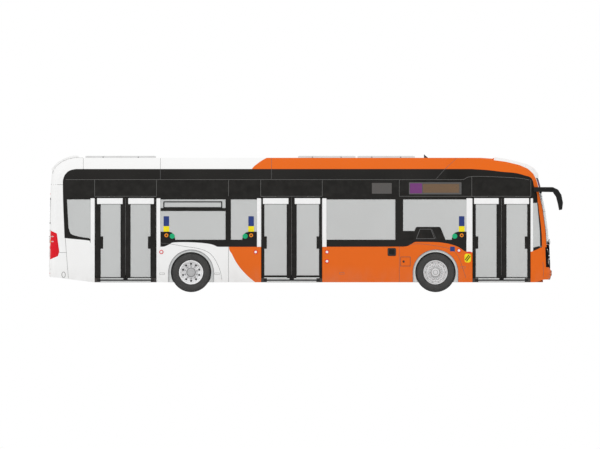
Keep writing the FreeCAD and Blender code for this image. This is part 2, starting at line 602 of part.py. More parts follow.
# ---------------------------------------------------------------- doors
LUG_Z = (1049.0, 1346.0)    # height of the grip plate that stands into each pane
LUG_W = 66.0
UPPER_ARM_Z = LEAF_TOP + ARM_CLEAR
LOWER_ARM_Z = FLOOR_TOP + ARM_CLEAR
DRIVE_Z = UPPER_ARM_Z + ARM_THICK + ARM_CLEAR
BRACKET = 30.0              # height of the brackets that carry a leaf on its arms
BRACKET_R = 22.0
PIVOT_S = POST_S + ARM


def door_block(s0, s1, d0, d1, z0, z1):
    """A box in door axes: s from the jamb, d inwards from the wall's outer face."""
    return Part.makeBox(s1 - s0, d1 - d0, z1 - z0, V(s0, d0, z0))


def door_leaf(width, stile, rail):
    """Frame of a leaf with its brackets, and its pane, in door axes."""
    s0, s1 = LEAF_EDGE, LEAF_EDGE + width
    g0, g1 = s0 + stile, s1 - STILE_LEAD
    z0, z1 = LEAF_BOTTOM + rail, LEAF_TOP - LEAF_HEAD
    frame = door_block(s0, s1, 0, LEAF_THICK, LEAF_BOTTOM, LEAF_TOP)
    frame = frame.cut(door_block(g0, g1, -5, LEAF_THICK + 5, z0, z1))
    frame = frame.fuse(door_block(g0, g0 + LUG_W, 0, LEAF_THICK, *LUG_Z))
    pane = door_block(g0 + GAP, g1 - GAP, 4, 4 + GLASS, z0 + GAP, z1 - GAP)
    pane = pane.cut(door_block(g0, g0 + LUG_W + GAP, -5, LEAF_THICK, LUG_Z[0] - GAP, LUG_Z[1] + GAP))
    for low in (LEAF_BOTTOM, LEAF_TOP - BRACKET):
        foot = door_block(PIVOT_S - BRACKET_R, PIVOT_S + BRACKET_R, LEAF_THICK - 1, POST_D,
                          low, low + BRACKET)
        eye = Part.makeCylinder(BRACKET_R, BRACKET, V(PIVOT_S, POST_D, low))
        frame = frame.fuse(foot).fuse(eye)
        frame = frame.cut(Part.makeCylinder(PIN_R + RUN, BRACKET + 2, V(PIVOT_S, POST_D, low - 1)))
    return frame.removeSplitter(), pane


def door_post():
    """Turning post with its two arms and their pins, in door axes."""
    post = Part.makeCylinder(POST_R, DRIVE_Z - FLOOR_TOP - 0.6, V(POST_S, POST_D, FLOOR_TOP + 0.3))
    reach = ARM_THICK + ARM_CLEAR + BRACKET
    for z, pin_z in ((LOWER_ARM_Z, LOWER_ARM_Z), (UPPER_ARM_Z, UPPER_ARM_Z + ARM_THICK - reach)):
        arm = door_block(POST_S, PIVOT_S, POST_D - 16, POST_D + 16, z, z + ARM_THICK)
        tip = Part.makeCylinder(16, ARM_THICK, V(PIVOT_S, POST_D, z))
        pin = Part.makeCylinder(PIN_R, reach, V(PIVOT_S, POST_D, pin_z))
        post = post.fuse(arm).fuse(tip).fuse(pin)
    return post.removeSplitter()


post = door_post()
drives = []
for door, (jamb, width, stile, rail) in DOORS.items():
    frame, pane = door_leaf(width / 2 - LEAF_EDGE - LEAF_MEET / 2, stile, rail)
    for leaf in ("aft", "fore"):
        shapes = [frame.copy(), pane.copy(), post.copy()]
        start = jamb
        if leaf == "fore":
            shapes = [s.mirror(V(0, 0, 0), V(1, 0, 0)) for s in shapes]
            start = jamb + width
        for s in shapes:
            s.translate(V(at(start), -HALF, 0))
        name = f"{door}_door_{leaf}"
        parts[f"{name}_leaf"], parts[f"{name}_glass"], parts[f"{name}_post"] = shapes
    drives.append(box(jamb + 2 * POST_S, jamb + width - 2 * POST_S, -INNER + GAP, -INNER + 200,
                      DRIVE_Z, GUTTER_Z))
parts["roof_deck"] = fused([parts["roof_deck"]] + drives).cut(front_outer.cut(front_room))

# ---------------------------------------------------------------- wheels and axles
WHEEL_Y = HALF - TYRE_INSET - TYRE_W / 2
KINGPIN_Y = WHEEL_Y - 130
SPINDLE_R = {"front": 45.0, "rear": 60.0}
HAND_HOLES = 10


def tyre_solid(y):
    """A tyre standing on the ground, its axis along Y through the row's origin column."""
    h = TYRE_W / 2
    seat = RIM_R + 0.3
    pts = {
        "in_a": (-h + 34, seat), "side_a": (-h, seat + 96), "sh_a": (-h + 22, TYRE_R - 12),
        "tr_a": (-h + 40, TYRE_R), "tr_b": (h - 40, TYRE_R), "sh_b": (h - 22, TYRE_R - 12),
        "side_b": (h, seat + 96), "in_b": (h - 34, seat),
    }
    p = {k: V(0, y + a, r) for k, (a, r) in pts.items()}
    wire = Part.Wire([
        Part.Arc(p["in_a"], p["side_a"], p["sh_a"]).toShape(),
        Part.makeLine(p["sh_a"], p["tr_a"]), Part.makeLine(p["tr_a"], p["tr_b"]),
        Part.makeLine(p["tr_b"], p["sh_b"]),
        Part.Arc(p["sh_b"], p["side_b"], p["in_b"]).toShape(),
        Part.makeLine(p["in_b"], p["in_a"]),
    ])
    return Part.Face(wire).revolve(V(0, 0, 0), V(0, 1, 0), 360)


def ring(r_out, r_in, y0, y1):
    outer = Part.makeCylinder(r_out, y1 - y0, V(0, y0, 0), V(0, 1, 0))
    return outer.cut(Part.makeCylinder(r_in, y1 - y0 + 2, V(0, y0 - 1, 0), V(0, 1, 0)))


def around(count, radius, make):
    """Copies of a shape made at a point on a circle round the wheel axis."""
    out = []
    for i in range(count):
        a = 2 * math.pi * i / count
        out.append(make(radius * math.sin(a), radius * math.cos(a)))
    return out


def wheel_disc(y0, y1, hub_r, hub_y0, hub_y1, bore_r, bore_y1):
    """Disc with hand holes, hub and wheel nuts, bored for its spindle."""
    disc = Part.makeCylinder(RIM_R - RIM_WALL + 1, y1 - y0, V(0, y0, 0), V(0, 1, 0))
    holes = around(HAND_HOLES, 205, lambda x, z: Part.makeCylinder(
        24, y1 - y0 + 2, V(x, y0 - 1, z), V(0, 1, 0)))
    nuts = around(HAND_HOLES, 150, lambda x, z: Part.makeCylinder(
        17, y1 - y0 + 28, V(x, y0, z), V(0, 1, 0)))
    hub = Part.makeCylinder(hub_r, hub_y1 - hub_y0, V(0, hub_y0, 0), V(0, 1, 0))
    disc = disc.cut(holes[0].multiFuse(holes[1:])).fuse(hub).multiFuse(nuts)
    return disc.cut(Part.makeCylinder(bore_r + RUN, bore_y1 - hub_y0 + 5,
                                      V(0, hub_y0 - 5, 0), V(0, 1, 0)))


def front_wheel():
    half = TYRE_W / 2
    barrel = ring(RIM_R, RIM_R - RIM_WALL, WHEEL_Y - half + 20, WHEEL_Y + half - 14)
    disc = wheel_disc(WHEEL_Y + 62, WHEEL_Y + 80, 92, WHEEL_Y - 20, WHEEL_Y + 118,
                      SPINDLE_R["front"], WHEEL_Y + 78)
    return barrel.fuse(disc).removeSplitter(), tyre_solid(WHEEL_Y)


def rear_wheel():
    half = TYRE_W / 2
    inner_y = WHEEL_Y - TWIN_PITCH
    barrel = ring(RIM_R, RIM_R - RIM_WALL, inner_y - half + 14, WHEEL_Y + half - 14)
    barrel = barrel.cut(ring(RIM_R + 5, RIM_R - 8, inner_y + half - 14, WHEEL_Y - half + 14))
    disc = wheel_disc(WHEEL_Y - 60, WHEEL_Y - 36, 118, inner_y - 20, WHEEL_Y + 60,
                      SPINDLE_R["rear"], WHEEL_Y + 20)
    return (barrel.fuse(disc).removeSplitter(),
            Part.Compound([tyre_solid(inner_y), tyre_solid(WHEEL_Y)]))


for end, axle, make in (("front", AXLE_F, front_wheel), ("rear", AXLE_R, rear_wheel)):
    rim, tyre = make()
    for hand in ("left", "right"):
        for name, shape in (("rim", rim), ("tyre", tyre)):
            shape = shape.copy() if hand == "left" else mirrored(shape)
            shape.translate(V(at(axle), 0, TYRE_R))
            parts[f"{end}_{hand}_{name}"] = shape

# Front axle: a low beam, necks that rise inside the wheels, and the eyes of the kingpins.
BEAM_Z = (130.0, 235.0)
EYE_R, EYE_Z = 46.0, (443.0, 513.0)
KINGPIN_R = 22.0


def axle_mount(axle, half_length, y):
    """Block on an axle beam that fills the gap between two lengths of chassis rail."""
    return box(axle - half_length, axle + half_length, y - RAIL_W / 2, y + RAIL_W / 2,
               BEAM_Z[1], RAIL_TOP)


beam = [box(AXLE_F - FRONT_SEAT, AXLE_F + FRONT_SEAT, -860, 860, *BEAM_Z)]
for s in (-1, 1):
    beam.append(box(AXLE_F - 50, AXLE_F + 50, *sorted((s * 800, s * 860)), BEAM_Z[0], EYE_Z[1]))
    beam.append(box(AXLE_F - 36, AXLE_F + 36, *sorted((s * 859, s * KINGPIN_Y)), *EYE_Z))
    beam.append(cyl_z(EYE_R, AXLE_F, s * KINGPIN_Y, *EYE_Z))
    beam.append(axle_mount(AXLE_F, FRONT_SEAT, s * RAIL_Y))
front_axle = fused(beam)
for s in (-1, 1):
    front_axle = front_axle.cut(cyl_z(KINGPIN_R + RUN, AXLE_F, s * KINGPIN_Y, 0, 900))
parts["front_axle"] = front_axle


def knuckle():
    """Left knuckle: kingpin, two ears, web and spindle."""
    web = box(AXLE_F - 34, AXLE_F + 34, KINGPIN_Y + 56, KINGPIN_Y + 90, EYE_Z[0] - 48, EYE_Z[1] + 48)
    pieces = [web, cyl_z(KINGPIN_R, AXLE_F, KINGPIN_Y, EYE_Z[0] - 48, EYE_Z[1] + 48)]
    for z0, z1 in ((EYE_Z[0] - 48, EYE_Z[0] - 2), (EYE_Z[1] + 2, EYE_Z[1] + 48)):
        pieces.append(cyl_z(EYE_R, AXLE_F, KINGPIN_Y, z0, z1))
        pieces.append(box(AXLE_F - 34, AXLE_F + 34, KINGPIN_Y, KINGPIN_Y + 60, z0, z1))
    pieces.append(cyl_y(SPINDLE_R["front"], AXLE_F, TYRE_R, KINGPIN_Y + 80, WHEEL_Y + 76))
    return fused(pieces)


parts["left_knuckle"] = knuckle()
parts["right_knuckle"] = mirrored(parts["left_knuckle"])

# Rear axle: a low beam, portal housings outboard of the floor, and the spindles.
PORTAL_Y = (REAR_HOUSING_IN + 3, REAR_HOUSING_IN + 36)
axle_parts = [box(AXLE_R - REAR_SEAT, AXLE_R + REAR_SEAT, -PORTAL_Y[1], PORTAL_Y[1], *BEAM_Z)]
for s in (-1, 1):
    axle_parts.append(box(AXLE_R - 115, AXLE_R + 115, *sorted((s * PORTAL_Y[0], s * PORTAL_Y[1])),
                          BEAM_Z[0], TYRE_R + 115))
    axle_parts.append(cyl_y(SPINDLE_R["rear"], AXLE_R, TYRE_R,
                            *sorted((s * (PORTAL_Y[0] + 10), s * (WHEEL_Y + 16)))))
    axle_parts.append(axle_mount(AXLE_R, REAR_SEAT, s * RAIL_Y))
parts["rear_axle"] = fused(axle_parts)

# ---------------------------------------------------------------- cab
CAB_X = (FRONT_MODULE - 1026, FRONT_MODULE - 126)
CAB_IN = 250.0
CAB_Z = FLOOR_TOP + 150
dash = prism_xz([(LENGTH - 575, CAB_Z), (LENGTH - 145, FLOOR_TOP), (LENGTH - 95, 1050),
                 (LENGTH - 435, 1110), (LENGTH - 515, 900)], -150, INNER - 5)
step = box(CAB_X[0], FLOOR_FRONT, CAB_IN, INNER - 5, FLOOR_TOP, CAB_Z)
parts["dashboard"] = dash.fuse(step).common(front_room.fuse(
    box(CAB_X[0], FRONT_MODULE, -HALF, INNER - 5, 0, HIGH))).removeSplitter()
cab_wall = fused([
    box(CAB_X[0] - 30, CAB_X[0], CAB_IN, INNER - 3, FLOOR_TOP, 2150),
    box(CAB_X[0] - 30, CAB_X[1] - 250, CAB_IN - 30, CAB_IN, FLOOR_TOP, 1250),
])
parts["cab_screen"] = cab_wall
seat_x, seat_y = CAB_X[0] + 260, (CAB_IN + INNER) / 2
driver_seat = fused([
    box(seat_x + 80, seat_x + 380, seat_y - 150, seat_y + 150, CAB_Z, CAB_Z + 300),
    box(seat_x, seat_x + 480, seat_y - 240, seat_y + 240, CAB_Z + 299, CAB_Z + 420),
])
driver_back = prism_xz([(seat_x - 10, CAB_Z + 420), (seat_x + 100, CAB_Z + 420),
                        (seat_x - 10, CAB_Z + 1080), (seat_x - 110, CAB_Z + 1080)],
                       seat_y - 235, seat_y + 235)


def steering_wheel():
    tilt = math.radians(28)
    axis = V(-math.sin(tilt), 0, math.cos(tilt))
    centre = V(at(CAB_X[1] - 20), seat_y, 1190)
    rim = Part.makeTorus(225, 15, centre, axis)
    hub = Part.makeCylinder(60, 30, centre - axis * 15, axis)
    spokes = []
    side = V(0, 1, 0)
    front = axis.cross(side)
    for direction in (side, side * -1, front, front * -1):
        spokes.append(Part.makeCylinder(12, 228, centre, direction))
    column = Part.makeCylinder(35, 330, centre - axis * 340, axis)
    return fused([rim, hub, column] + spokes)


parts["steering_wheel"] = steering_wheel().cut(parts["dashboard"])

# ---------------------------------------------------------------- passenger seats, poles
CUSHION = (430.0, 80.0)     # depth, thickness
BACK = (45.0, 640.0)
SEAT_Z = 400.0              # cushion underside above its base
LOW_W = 860.0
PEDESTAL = 120.0            # depth of the seat pedestals on the wheel housings
# Seats: place of the back along the bus, side, base height, width
ON_HOUSING = HOUSING_TOP + 5
SEATS = [(AXLE_R + dx, s, ON_HOUSING, 600.0) for s in (-1, 1) for dx in (-410, 50)]
SEATS += [(AXLE_F + dx, 1, ON_HOUSING, 580.0) for dx in (-430, 90)]
SEATS += [(x, -1, FLOOR_TOP, LOW_W) for x in (MID_DOOR_X - 820, MID_DOOR_END + 453, MID_DOOR_END + 1253)]
SEATS += [(x, 1, FLOOR_TOP, LOW_W) for x in (REAR_DOOR_X + 249, REAR_DOOR_X + 999)]
SEATS += [(AXLE_R + dx, 1, FLOOR_TOP, LOW_W) for dx in (870, 1620)]
SEATS += [(AXLE_F + dx, 1, FLOOR_TOP, LOW_W) for dx in (-2630, -1880, -1180)]
cushions, frames = [driver_seat], [driver_back]
for x, s, base, width in SEATS:
    y0, y1 = sorted((s * (INNER - 6), s * (INNER - 6 - width)))
    high = SEAT_Z if base == FLOOR_TOP else 0.0
    z = base + high
    depth = CUSHION[0] if high else CUSHION[0] - 40
    cushions.append(box(x, x + depth, y0, y1, z, z + CUSHION[1]))
    frames.append(box(x - BACK[0], x, y0, y1, z, z + BACK[1]))
    if high:
        frames.append(box(x + 90, x + 300, y0 + 60, y1 - 60, base, z))
    else:
        axle = AXLE_R if x < (AXLE_R + AXLE_F) / 2 else AXLE_F
        pedestal = box(x - BACK[0], x + depth, y0, y1, base - PEDESTAL, base)
        frames.append(pedestal.cut(arch(axle, HOUSING_R, 0, y0 - 5, y1 + 5, HOUSING_WALL)))
cushions.append(box(600, PLATFORM_FRONT - 10, -1130, 1130, PLATFORM_Z, PLATFORM_Z + CUSHION[1]))
frames.append(box(600 - BACK[0], 600, -1130, 1130, PLATFORM_Z, PLATFORM_Z + BACK[1]))
parts["seat_cushions"] = Part.Compound(cushions)

POLE_R = 17.0
POLES = [
    (REAR_DOOR_X + 239, -420.0), (REAR_DOOR_X + REAR_DOOR_W + 165, -420.0),
    (MID_DOOR_X - 900, -330.0), (MID_DOOR_X - 140, -330.0), (MID_DOOR_X + 738, 420.0),
    (MID_DOOR_END + 163, -330.0), (AXLE_F - 910, -330.0), (AXLE_F - 910, 330.0),
    (FRONT_DOOR_X - 101, -420.0), (FRONT_DOOR_X - 101, 420.0),
]
parts["grab_poles"] = Part.Compound([cyl_z(POLE_R, x, y, FLOOR_TOP, GUTTER_Z) for x, y in POLES])
console = prism_xz([(AXLE_F - 490, HOUSING_TOP), (AXLE_F + 250, HOUSING_TOP),
                    (AXLE_F + 110, 1573), (AXLE_F - 440, 1573)],
                   -INNER + 2, -FRONT_HOUSING_IN - 60)
parts["seat_frames"] = Part.Compound(frames + [console])

# ---------------------------------------------------------------- mirrors, wipers
MIRROR_SIDE_VIEW = [(LENGTH + ahead, z) for ahead, z in (
    (-435, 2536), (25, 2536), (155, 2475), (235, 2348), (MIRROR_REACH, 2155), (253, 1993),
    (177, 1978), (145, 2140), (103, 2300), (25, 2415), (-435, 2422))]


def mirror():
    """Kerb side mirror: an arm from the front moulding, and the head that hangs from it."""
    whole = prism_xz(MIRROR_SIDE_VIEW, -HALF - 55, -HALF + 75)
    head = prism_xz(MIRROR_SIDE_VIEW, -HALF - MIRROR_SIDE, -HALF + 75)
    head = head.common(box(LENGTH + 40, LENGTH + MIRROR_REACH + 5, -HALF - 400, 0, 0, 2500))
    return whole.fuse(head).removeSplitter().cut(front_outer)


right_mirror = mirror()
parts["mirrors"] = Part.Compound([right_mirror, mirrored(right_mirror)])

# ---------------------------------------------------------------- write every sub-part
os.makedirs("parts", exist_ok=True)
for name, shape in parts.items():
    shape.exportStep(os.path.join("parts", name + ".step"))
    if not shape.isValid():
        print("not valid:", name)
print(len(parts), "sub-parts")
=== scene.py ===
"""Looks of a low-floor city bus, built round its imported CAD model.

Metres, in the row frame: +X forward, +Y to the driver's left, +Z up. Lengths along the bus are
given from the rear bumper and shifted by `at`, as in the CAD source.
"""

import functools
import itertools
import json
import math

import bmesh
import bpy
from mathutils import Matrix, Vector
from mathutils.bvhtree import BVHTree


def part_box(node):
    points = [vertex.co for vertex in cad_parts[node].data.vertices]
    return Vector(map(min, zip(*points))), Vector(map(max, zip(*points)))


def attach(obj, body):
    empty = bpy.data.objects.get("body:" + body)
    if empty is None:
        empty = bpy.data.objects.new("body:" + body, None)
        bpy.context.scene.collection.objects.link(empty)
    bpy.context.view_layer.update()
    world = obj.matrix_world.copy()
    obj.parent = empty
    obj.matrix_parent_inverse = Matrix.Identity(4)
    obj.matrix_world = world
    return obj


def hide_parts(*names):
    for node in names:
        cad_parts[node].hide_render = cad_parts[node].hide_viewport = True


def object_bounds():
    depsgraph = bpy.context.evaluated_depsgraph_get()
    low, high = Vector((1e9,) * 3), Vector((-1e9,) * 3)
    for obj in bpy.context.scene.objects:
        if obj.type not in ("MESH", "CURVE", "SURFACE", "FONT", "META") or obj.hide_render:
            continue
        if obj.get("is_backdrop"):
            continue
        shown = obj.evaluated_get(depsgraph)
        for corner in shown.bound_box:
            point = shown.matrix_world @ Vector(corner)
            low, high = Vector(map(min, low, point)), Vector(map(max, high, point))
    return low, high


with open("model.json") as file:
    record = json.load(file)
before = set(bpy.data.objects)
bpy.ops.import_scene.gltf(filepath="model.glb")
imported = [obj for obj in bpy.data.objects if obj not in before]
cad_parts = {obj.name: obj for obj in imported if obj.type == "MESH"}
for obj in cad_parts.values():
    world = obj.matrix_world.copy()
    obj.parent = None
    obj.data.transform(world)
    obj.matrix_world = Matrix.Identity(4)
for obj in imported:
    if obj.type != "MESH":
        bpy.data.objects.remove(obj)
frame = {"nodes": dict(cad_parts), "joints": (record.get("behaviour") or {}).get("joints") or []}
cad_low, cad_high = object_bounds()
nodes = frame["nodes"]
joint_at = {j["name"]: Vector(j["pos_m"]) for j in frame["joints"]}

# ---------------------------------------------------------------- sizes taken from the frame
REAR = cad_low.x
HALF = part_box("driver_side_wall")[1].y
AXLE_R = joint_at["rear_left_roll"].x - REAR
AXLE_F = joint_at["front_left_roll"].x - REAR
TYRE_R = joint_at["rear_left_roll"].z
WHEEL_Y = joint_at["rear_left_roll"].y
ROOF_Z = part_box("roof_fairings")[1].z
# Doors of the kerb side: rear edge of the opening, width.
DOORS = {"rear": (1.101, 1.494), "mid": (5.120, 1.477), "front": (10.221, 1.405)}
FRONT_MODULE = sum(DOORS["front"])
BEAD_EDGE = 0.262           # radius where the face of a wheel meets the rim's edge
KERB, DRIVER = -1, 1


def at(along):
    """Row X of a distance from the rear bumper."""
    return REAR + along


# ---------------------------------------------------------------- node materials
WHITE = (0.86, 0.86, 0.855)
ORANGE = (0.75, 0.140, 0.016)
BLACK = (0.0190, 0.0182, 0.0170)
GLASS_GREY = (0.62, 0.632, 0.627)
ROAD_DUST = (0.36, 0.33, 0.29)


class Material:
    """A node material: the maths that its colour, gloss and relief are made with."""

    def __init__(self, name, color=(0.8, 0.8, 0.8), rough=0.5, **shader):
        self.material = bpy.data.materials.new(name)
        self.material.use_nodes = True
        self.tree = self.material.node_tree
        self.shader = self.tree.nodes["Principled BSDF"]
        self.place = None
        self.set("Base Color", color)
        self.set("Roughness", rough)
        for socket, value in shader.items():
            self.set(socket.replace("_", " "), value)

    def set(self, socket, value):
        self.feed(self.shader.inputs[socket], value)

    def feed(self, socket, value):
        if isinstance(value, bpy.types.NodeSocket):
            self.tree.links.new(value, socket)
        elif hasattr(value, "__len__") and len(value) == 3 and socket.type == "RGBA":
            socket.default_value = (*value, 1.0)
        else:
            socket.default_value = value

    def node(self, kind, **settings):
        made = self.tree.nodes.new("ShaderNode" + kind)
        for key, value in settings.items():
            setattr(made, key, value)
        return made

    def xyz(self):
        """Row-frame x, y and z of the shaded point, with the body at rest."""
        if self.place is None:
            coordinates = self.node("TexCoord")
            split = self.node("SeparateXYZ")
            self.feed(split.inputs[0], coordinates.outputs["Object"])
            self.place = (coordinates.outputs["Object"], split.outputs)
        return self.place[1]

    def math(self, operation, a, b=0.0, clamp=False):
        made = self.node("Math", operation=operation, use_clamp=clamp)
        self.feed(made.inputs[0], a)
        self.feed(made.inputs[1], b)
        return made.outputs[0]

    def above(self, value, edge, soft=0.002):
        """1 where value is over edge, 0 where it is under, with a soft edge."""
        made = self.node("Math", operation="MULTIPLY_ADD", use_clamp=True)
        self.feed(made.inputs[0], self.math("SUBTRACT", value, edge))
        made.inputs[1].default_value = 1 / soft
        made.inputs[2].default_value = 0.5
        return made.outputs[0]

    def inside(self, value, low, high, soft=0.002):
        return self.both(self.above(value, low, soft), self.inverse(self.above(value, high, soft)))

    def inverse(self, value):
        return self.math("SUBTRACT", 1.0, value)

    def times(self, a, b):
        return self.math("MULTIPLY", a, b)

    def both(self, *masks):
        return functools.reduce(self.times, masks)

    def either(self, *masks):
        return functools.reduce(lambda a, b: self.math("MAXIMUM", a, b), masks)

    def wave(self, value, pitch):
        """A sine that repeats every pitch."""
        return self.math("SINE", self.times(value, 2 * math.pi / pitch))

    def blend(self, mask, a, b):
        made = self.node("Mix", data_type="RGBA")
        self.feed(made.inputs[0], mask)
        self.feed(made.inputs[6], a)
        self.feed(made.inputs[7], b)
        return made.outputs[2]

    def mapped(self, value, from_low, from_high, low, high):
        made = self.node("MapRange")
        for i, v in enumerate((value, from_low, from_high, low, high)):
            self.feed(made.inputs[i], v)
        return made.outputs[0]

    def ranged(self, value, low, high):
        """The middle of a noise, spread between two values."""
        return self.mapped(value, 0.3, 0.7, low, high)

    def curve(self, value, points):
        """A line through a few (value, result) points, as a float curve."""
        x0, x1 = points[0][0], points[-1][0]
        results = [p[1] for p in points]
        z0, z1 = min(results), max(results)
        share = self.mapped(value, x0, x1, 0.0, 1.0)
        line = self.node("FloatCurve")
        knots = line.mapping.curves[0].points
        while len(knots) < len(points):
            knots.new(0.5, 0.5)
        for knot, (x, z) in zip(knots, points):
            knot.location = ((x - x0) / (x1 - x0), (z - z0) / (z1 - z0))
            knot.handle_type = "AUTO_CLAMPED"
        line.mapping.update()
        self.feed(line.inputs["Value"], share)
        return self.mapped(line.outputs[0], 0.0, 1.0, z0, z1)

    def noise(self, scale, detail=3.0, stretch=None):
        self.xyz()
        made = self.node("TexNoise")
        made.inputs["Scale"].default_value = scale
        made.inputs["Detail"].default_value = detail
        source = self.place[0]
        if stretch:
            mapped = self.node("Mapping")
            mapped.inputs["Scale"].default_value = stretch
            self.feed(mapped.inputs["Vector"], source)
            source = mapped.outputs[0]
        self.feed(made.inputs["Vector"], source)
        return made.outputs[0]

    def relief(self, height, strength=0.2, distance=0.001):
        bump = self.node("Bump")
        bump.inputs["Strength"].default_value = strength
        bump.inputs["Distance"].default_value = distance
        self.feed(bump.inputs["Height"], height)
        self.set("Normal", bump.outputs[0])

    def grain(self, scale, detail, strength, distance):
        """A fine relief of noise."""
        self.relief(self.noise(scale, detail), strength, distance)

    def gloss(self, scale, detail, low, high):
        """Roughness that wanders between two values."""
        self.set("Roughness", self.ranged(self.noise(scale, detail), low, high))

    def tinted(self, mask, color, amount):
        """Two tones of a colour, mixed by a mask."""
        low = tuple(c * (1 - amount) for c in color)
        high = tuple(min(1.0, c * (1 + amount)) for c in color)
        return self.blend(mask, low, high)

    def mottled(self, color, amount, scale, detail=3.0):
        """Two tones of a colour in soft patches."""
        return self.tinted(self.ranged(self.noise(scale, detail), 0, 1), color, amount)


# Livery, as (height, along) or (along, height) lines.
ORANGE_EDGE = [(0.238, 4.973), (0.445, 4.739), (0.692, 4.538), (0.914, 4.418), (1.09, 4.345),
               (2.0, 4.45), (2.975, 4.898), (3.106, 5.036), (3.205, 5.183), (3.29, 5.36)]
BAND_REAR = [(1.2, 0.378), (1.307, 0.374), (2.659, 0.333), (2.76, 0.352), (2.884, 0.427),
             (2.945, 0.52), (2.973, 0.652)]
BAND_FRONT = [(0.99, 11.86), (1.085, 11.90), (1.5, 11.885), (2.152, 11.80), (2.393, 11.773),
              (2.562, 11.708), (2.707, 11.674), (2.768, 11.626), (2.816, 11.491),
              (2.874, 11.273), (2.905, 10.947), (2.946, 10.597), (2.973, 10.2)]
BAND_TOP = 2.973
HUMP = [(-0.72, -0.003), (-0.584, 0.03), (-0.501, 0.069), (-0.425, 0.099), (-0.2, 0.108),
        (0.08, 0.1), (0.358, 0.077), (0.497, 0.053), (0.58, 0.024), (0.677, -0.005)]
BELT = 1.099
BELT_KERB = [(0.3, 1.32), (0.374, 1.307), (1.0, 1.238), (1.05, BELT)]
BELT_KERB += [(AXLE_R + dx, BELT + dz) for dx, dz in HUMP]
BELT_KERB += [(8.548, BELT), (8.69, 1.13), (8.799, 1.192), (8.87, 1.213), (9.246, 1.211),
              (9.546, 1.186), (9.685, 1.158), (9.823, 1.116), (9.962, 1.044), (10.085, 0.978),
              (10.3, 0.965), (11.6, 0.975), (11.684, 0.995), (11.88, 1.08)]
BELT_DRIVER = [(0.3, 1.32), (0.374, 1.307), (0.9, 1.25), (1.3, BELT)]
BELT_DRIVER += BELT_KERB[4:]
# White pillars beside the kerb side doors: from, to.
PILLARS = [(1.002, 1.101), (2.595, 2.689), (5.021, 5.12), (6.597, 6.699), (10.078, 10.221),
           (11.626, 11.684)]
PILLAR_TOP = 2.261
# White field round the front display, and the dark strip in it: half width, foot, from.
FACE_HALF, FACE_FOOT, FACE_FROM = 1.02, 2.475, 10.74
VISOR_HALF, VISOR_FOOT, VISOR_TOP, VISOR_FROM = 0.93, 2.5, 2.755, 11.0
DUST_LINE, EDGE_SOFT = 0.42, 0.004


def livery(name, belt, pillars, white_face=False, coat=0.12):
    """White and orange paint with a black window band, by place on the body."""
    shade = Material(name, rough=0.28, Coat_Weight=coat, Coat_Roughness=0.06,
                     Specular_IOR_Level=0.0)
    x, y, z = shade.xyz()
    along = shade.math("SUBTRACT", x, REAR)
    orange = shade.above(along, shade.curve(z, ORANGE_EDGE), EDGE_SOFT)
    black = shade.both(
        shade.above(z, shade.curve(along, belt), EDGE_SOFT),
        shade.above(BAND_TOP, z, EDGE_SOFT),
        shade.above(along, shade.curve(z, BAND_REAR), EDGE_SOFT),
        shade.above(shade.curve(z, BAND_FRONT), along, EDGE_SOFT))
    tone = shade.ranged(shade.noise(0.7, 2.0), 0.0, 1.0)
    paint = shade.blend(orange, shade.tinted(tone, WHITE, 0.012), shade.tinted(tone, ORANGE, 0.02))
    if white_face:
        face = shade.both(shade.above(FACE_HALF, shade.math("ABSOLUTE", y), 0.01),
                          shade.above(z, FACE_FOOT, EDGE_SOFT),
                          shade.above(along, FACE_FROM, EDGE_SOFT))
        paint = shade.blend(face, paint, WHITE)
        visor = shade.both(shade.above(VISOR_HALF, shade.math("ABSOLUTE", y), 0.01),
                           shade.inside(z, VISOR_FOOT, VISOR_TOP, EDGE_SOFT),
                           shade.above(along, VISOR_FROM, EDGE_SOFT))
        paint = shade.blend(visor, paint, BLACK)
    color = shade.blend(black, paint, shade.tinted(tone, BLACK, 0.15))
    if pillars:
        strips = [shade.inside(along, a, b) for a, b in PILLARS]
        strip = shade.both(shade.either(*strips), shade.above(PILLAR_TOP, z),
                           shade.above(z, shade.curve(along, belt)))
        color = shade.blend(strip, color, WHITE)
    film = shade.both(shade.inverse(shade.above(z, DUST_LINE, 0.5)),
                      shade.ranged(shade.noise(5.0, 5.0, (1, 1, 0.35)), 0.0, 0.16))
    shade.set("Base Color", shade.blend(film, color, ROAD_DUST))
    shade.gloss(14.0, 4.0, 0.22, 0.34)
    shade.grain(2.0, 1.0, 0.02, 0.002)
    return shade.material


def plain(name, color, rough, grain=0.0, scale=300.0, tone=0.06, **shader):
    """A moulded or painted surface: two close tones, uneven gloss and a fine grain."""
    shade = Material(name, rough=rough, **shader)
    shade.set("Base Color", shade.mottled(color, tone, scale / 40))
    shade.gloss(scale / 12, 5.0, rough * 0.85, min(1.0, rough * 1.15))
    if grain:
        shade.grain(scale, 4.0, grain, 0.0006)
    return shade.material


def pane(name, color, alpha, rough=0.03):
    """Tinted glass: a pale film with a gloss, partly see-through."""
    shade = Material(name, rough=rough, Specular_IOR_Level=0.5, Alpha=alpha)
    shade.set("Base Color", shade.mottled(color, 0.015, 0.9, 1.0))
    shade.grain(3.0, 1.0, 0.03, 0.002)
    return shade.material


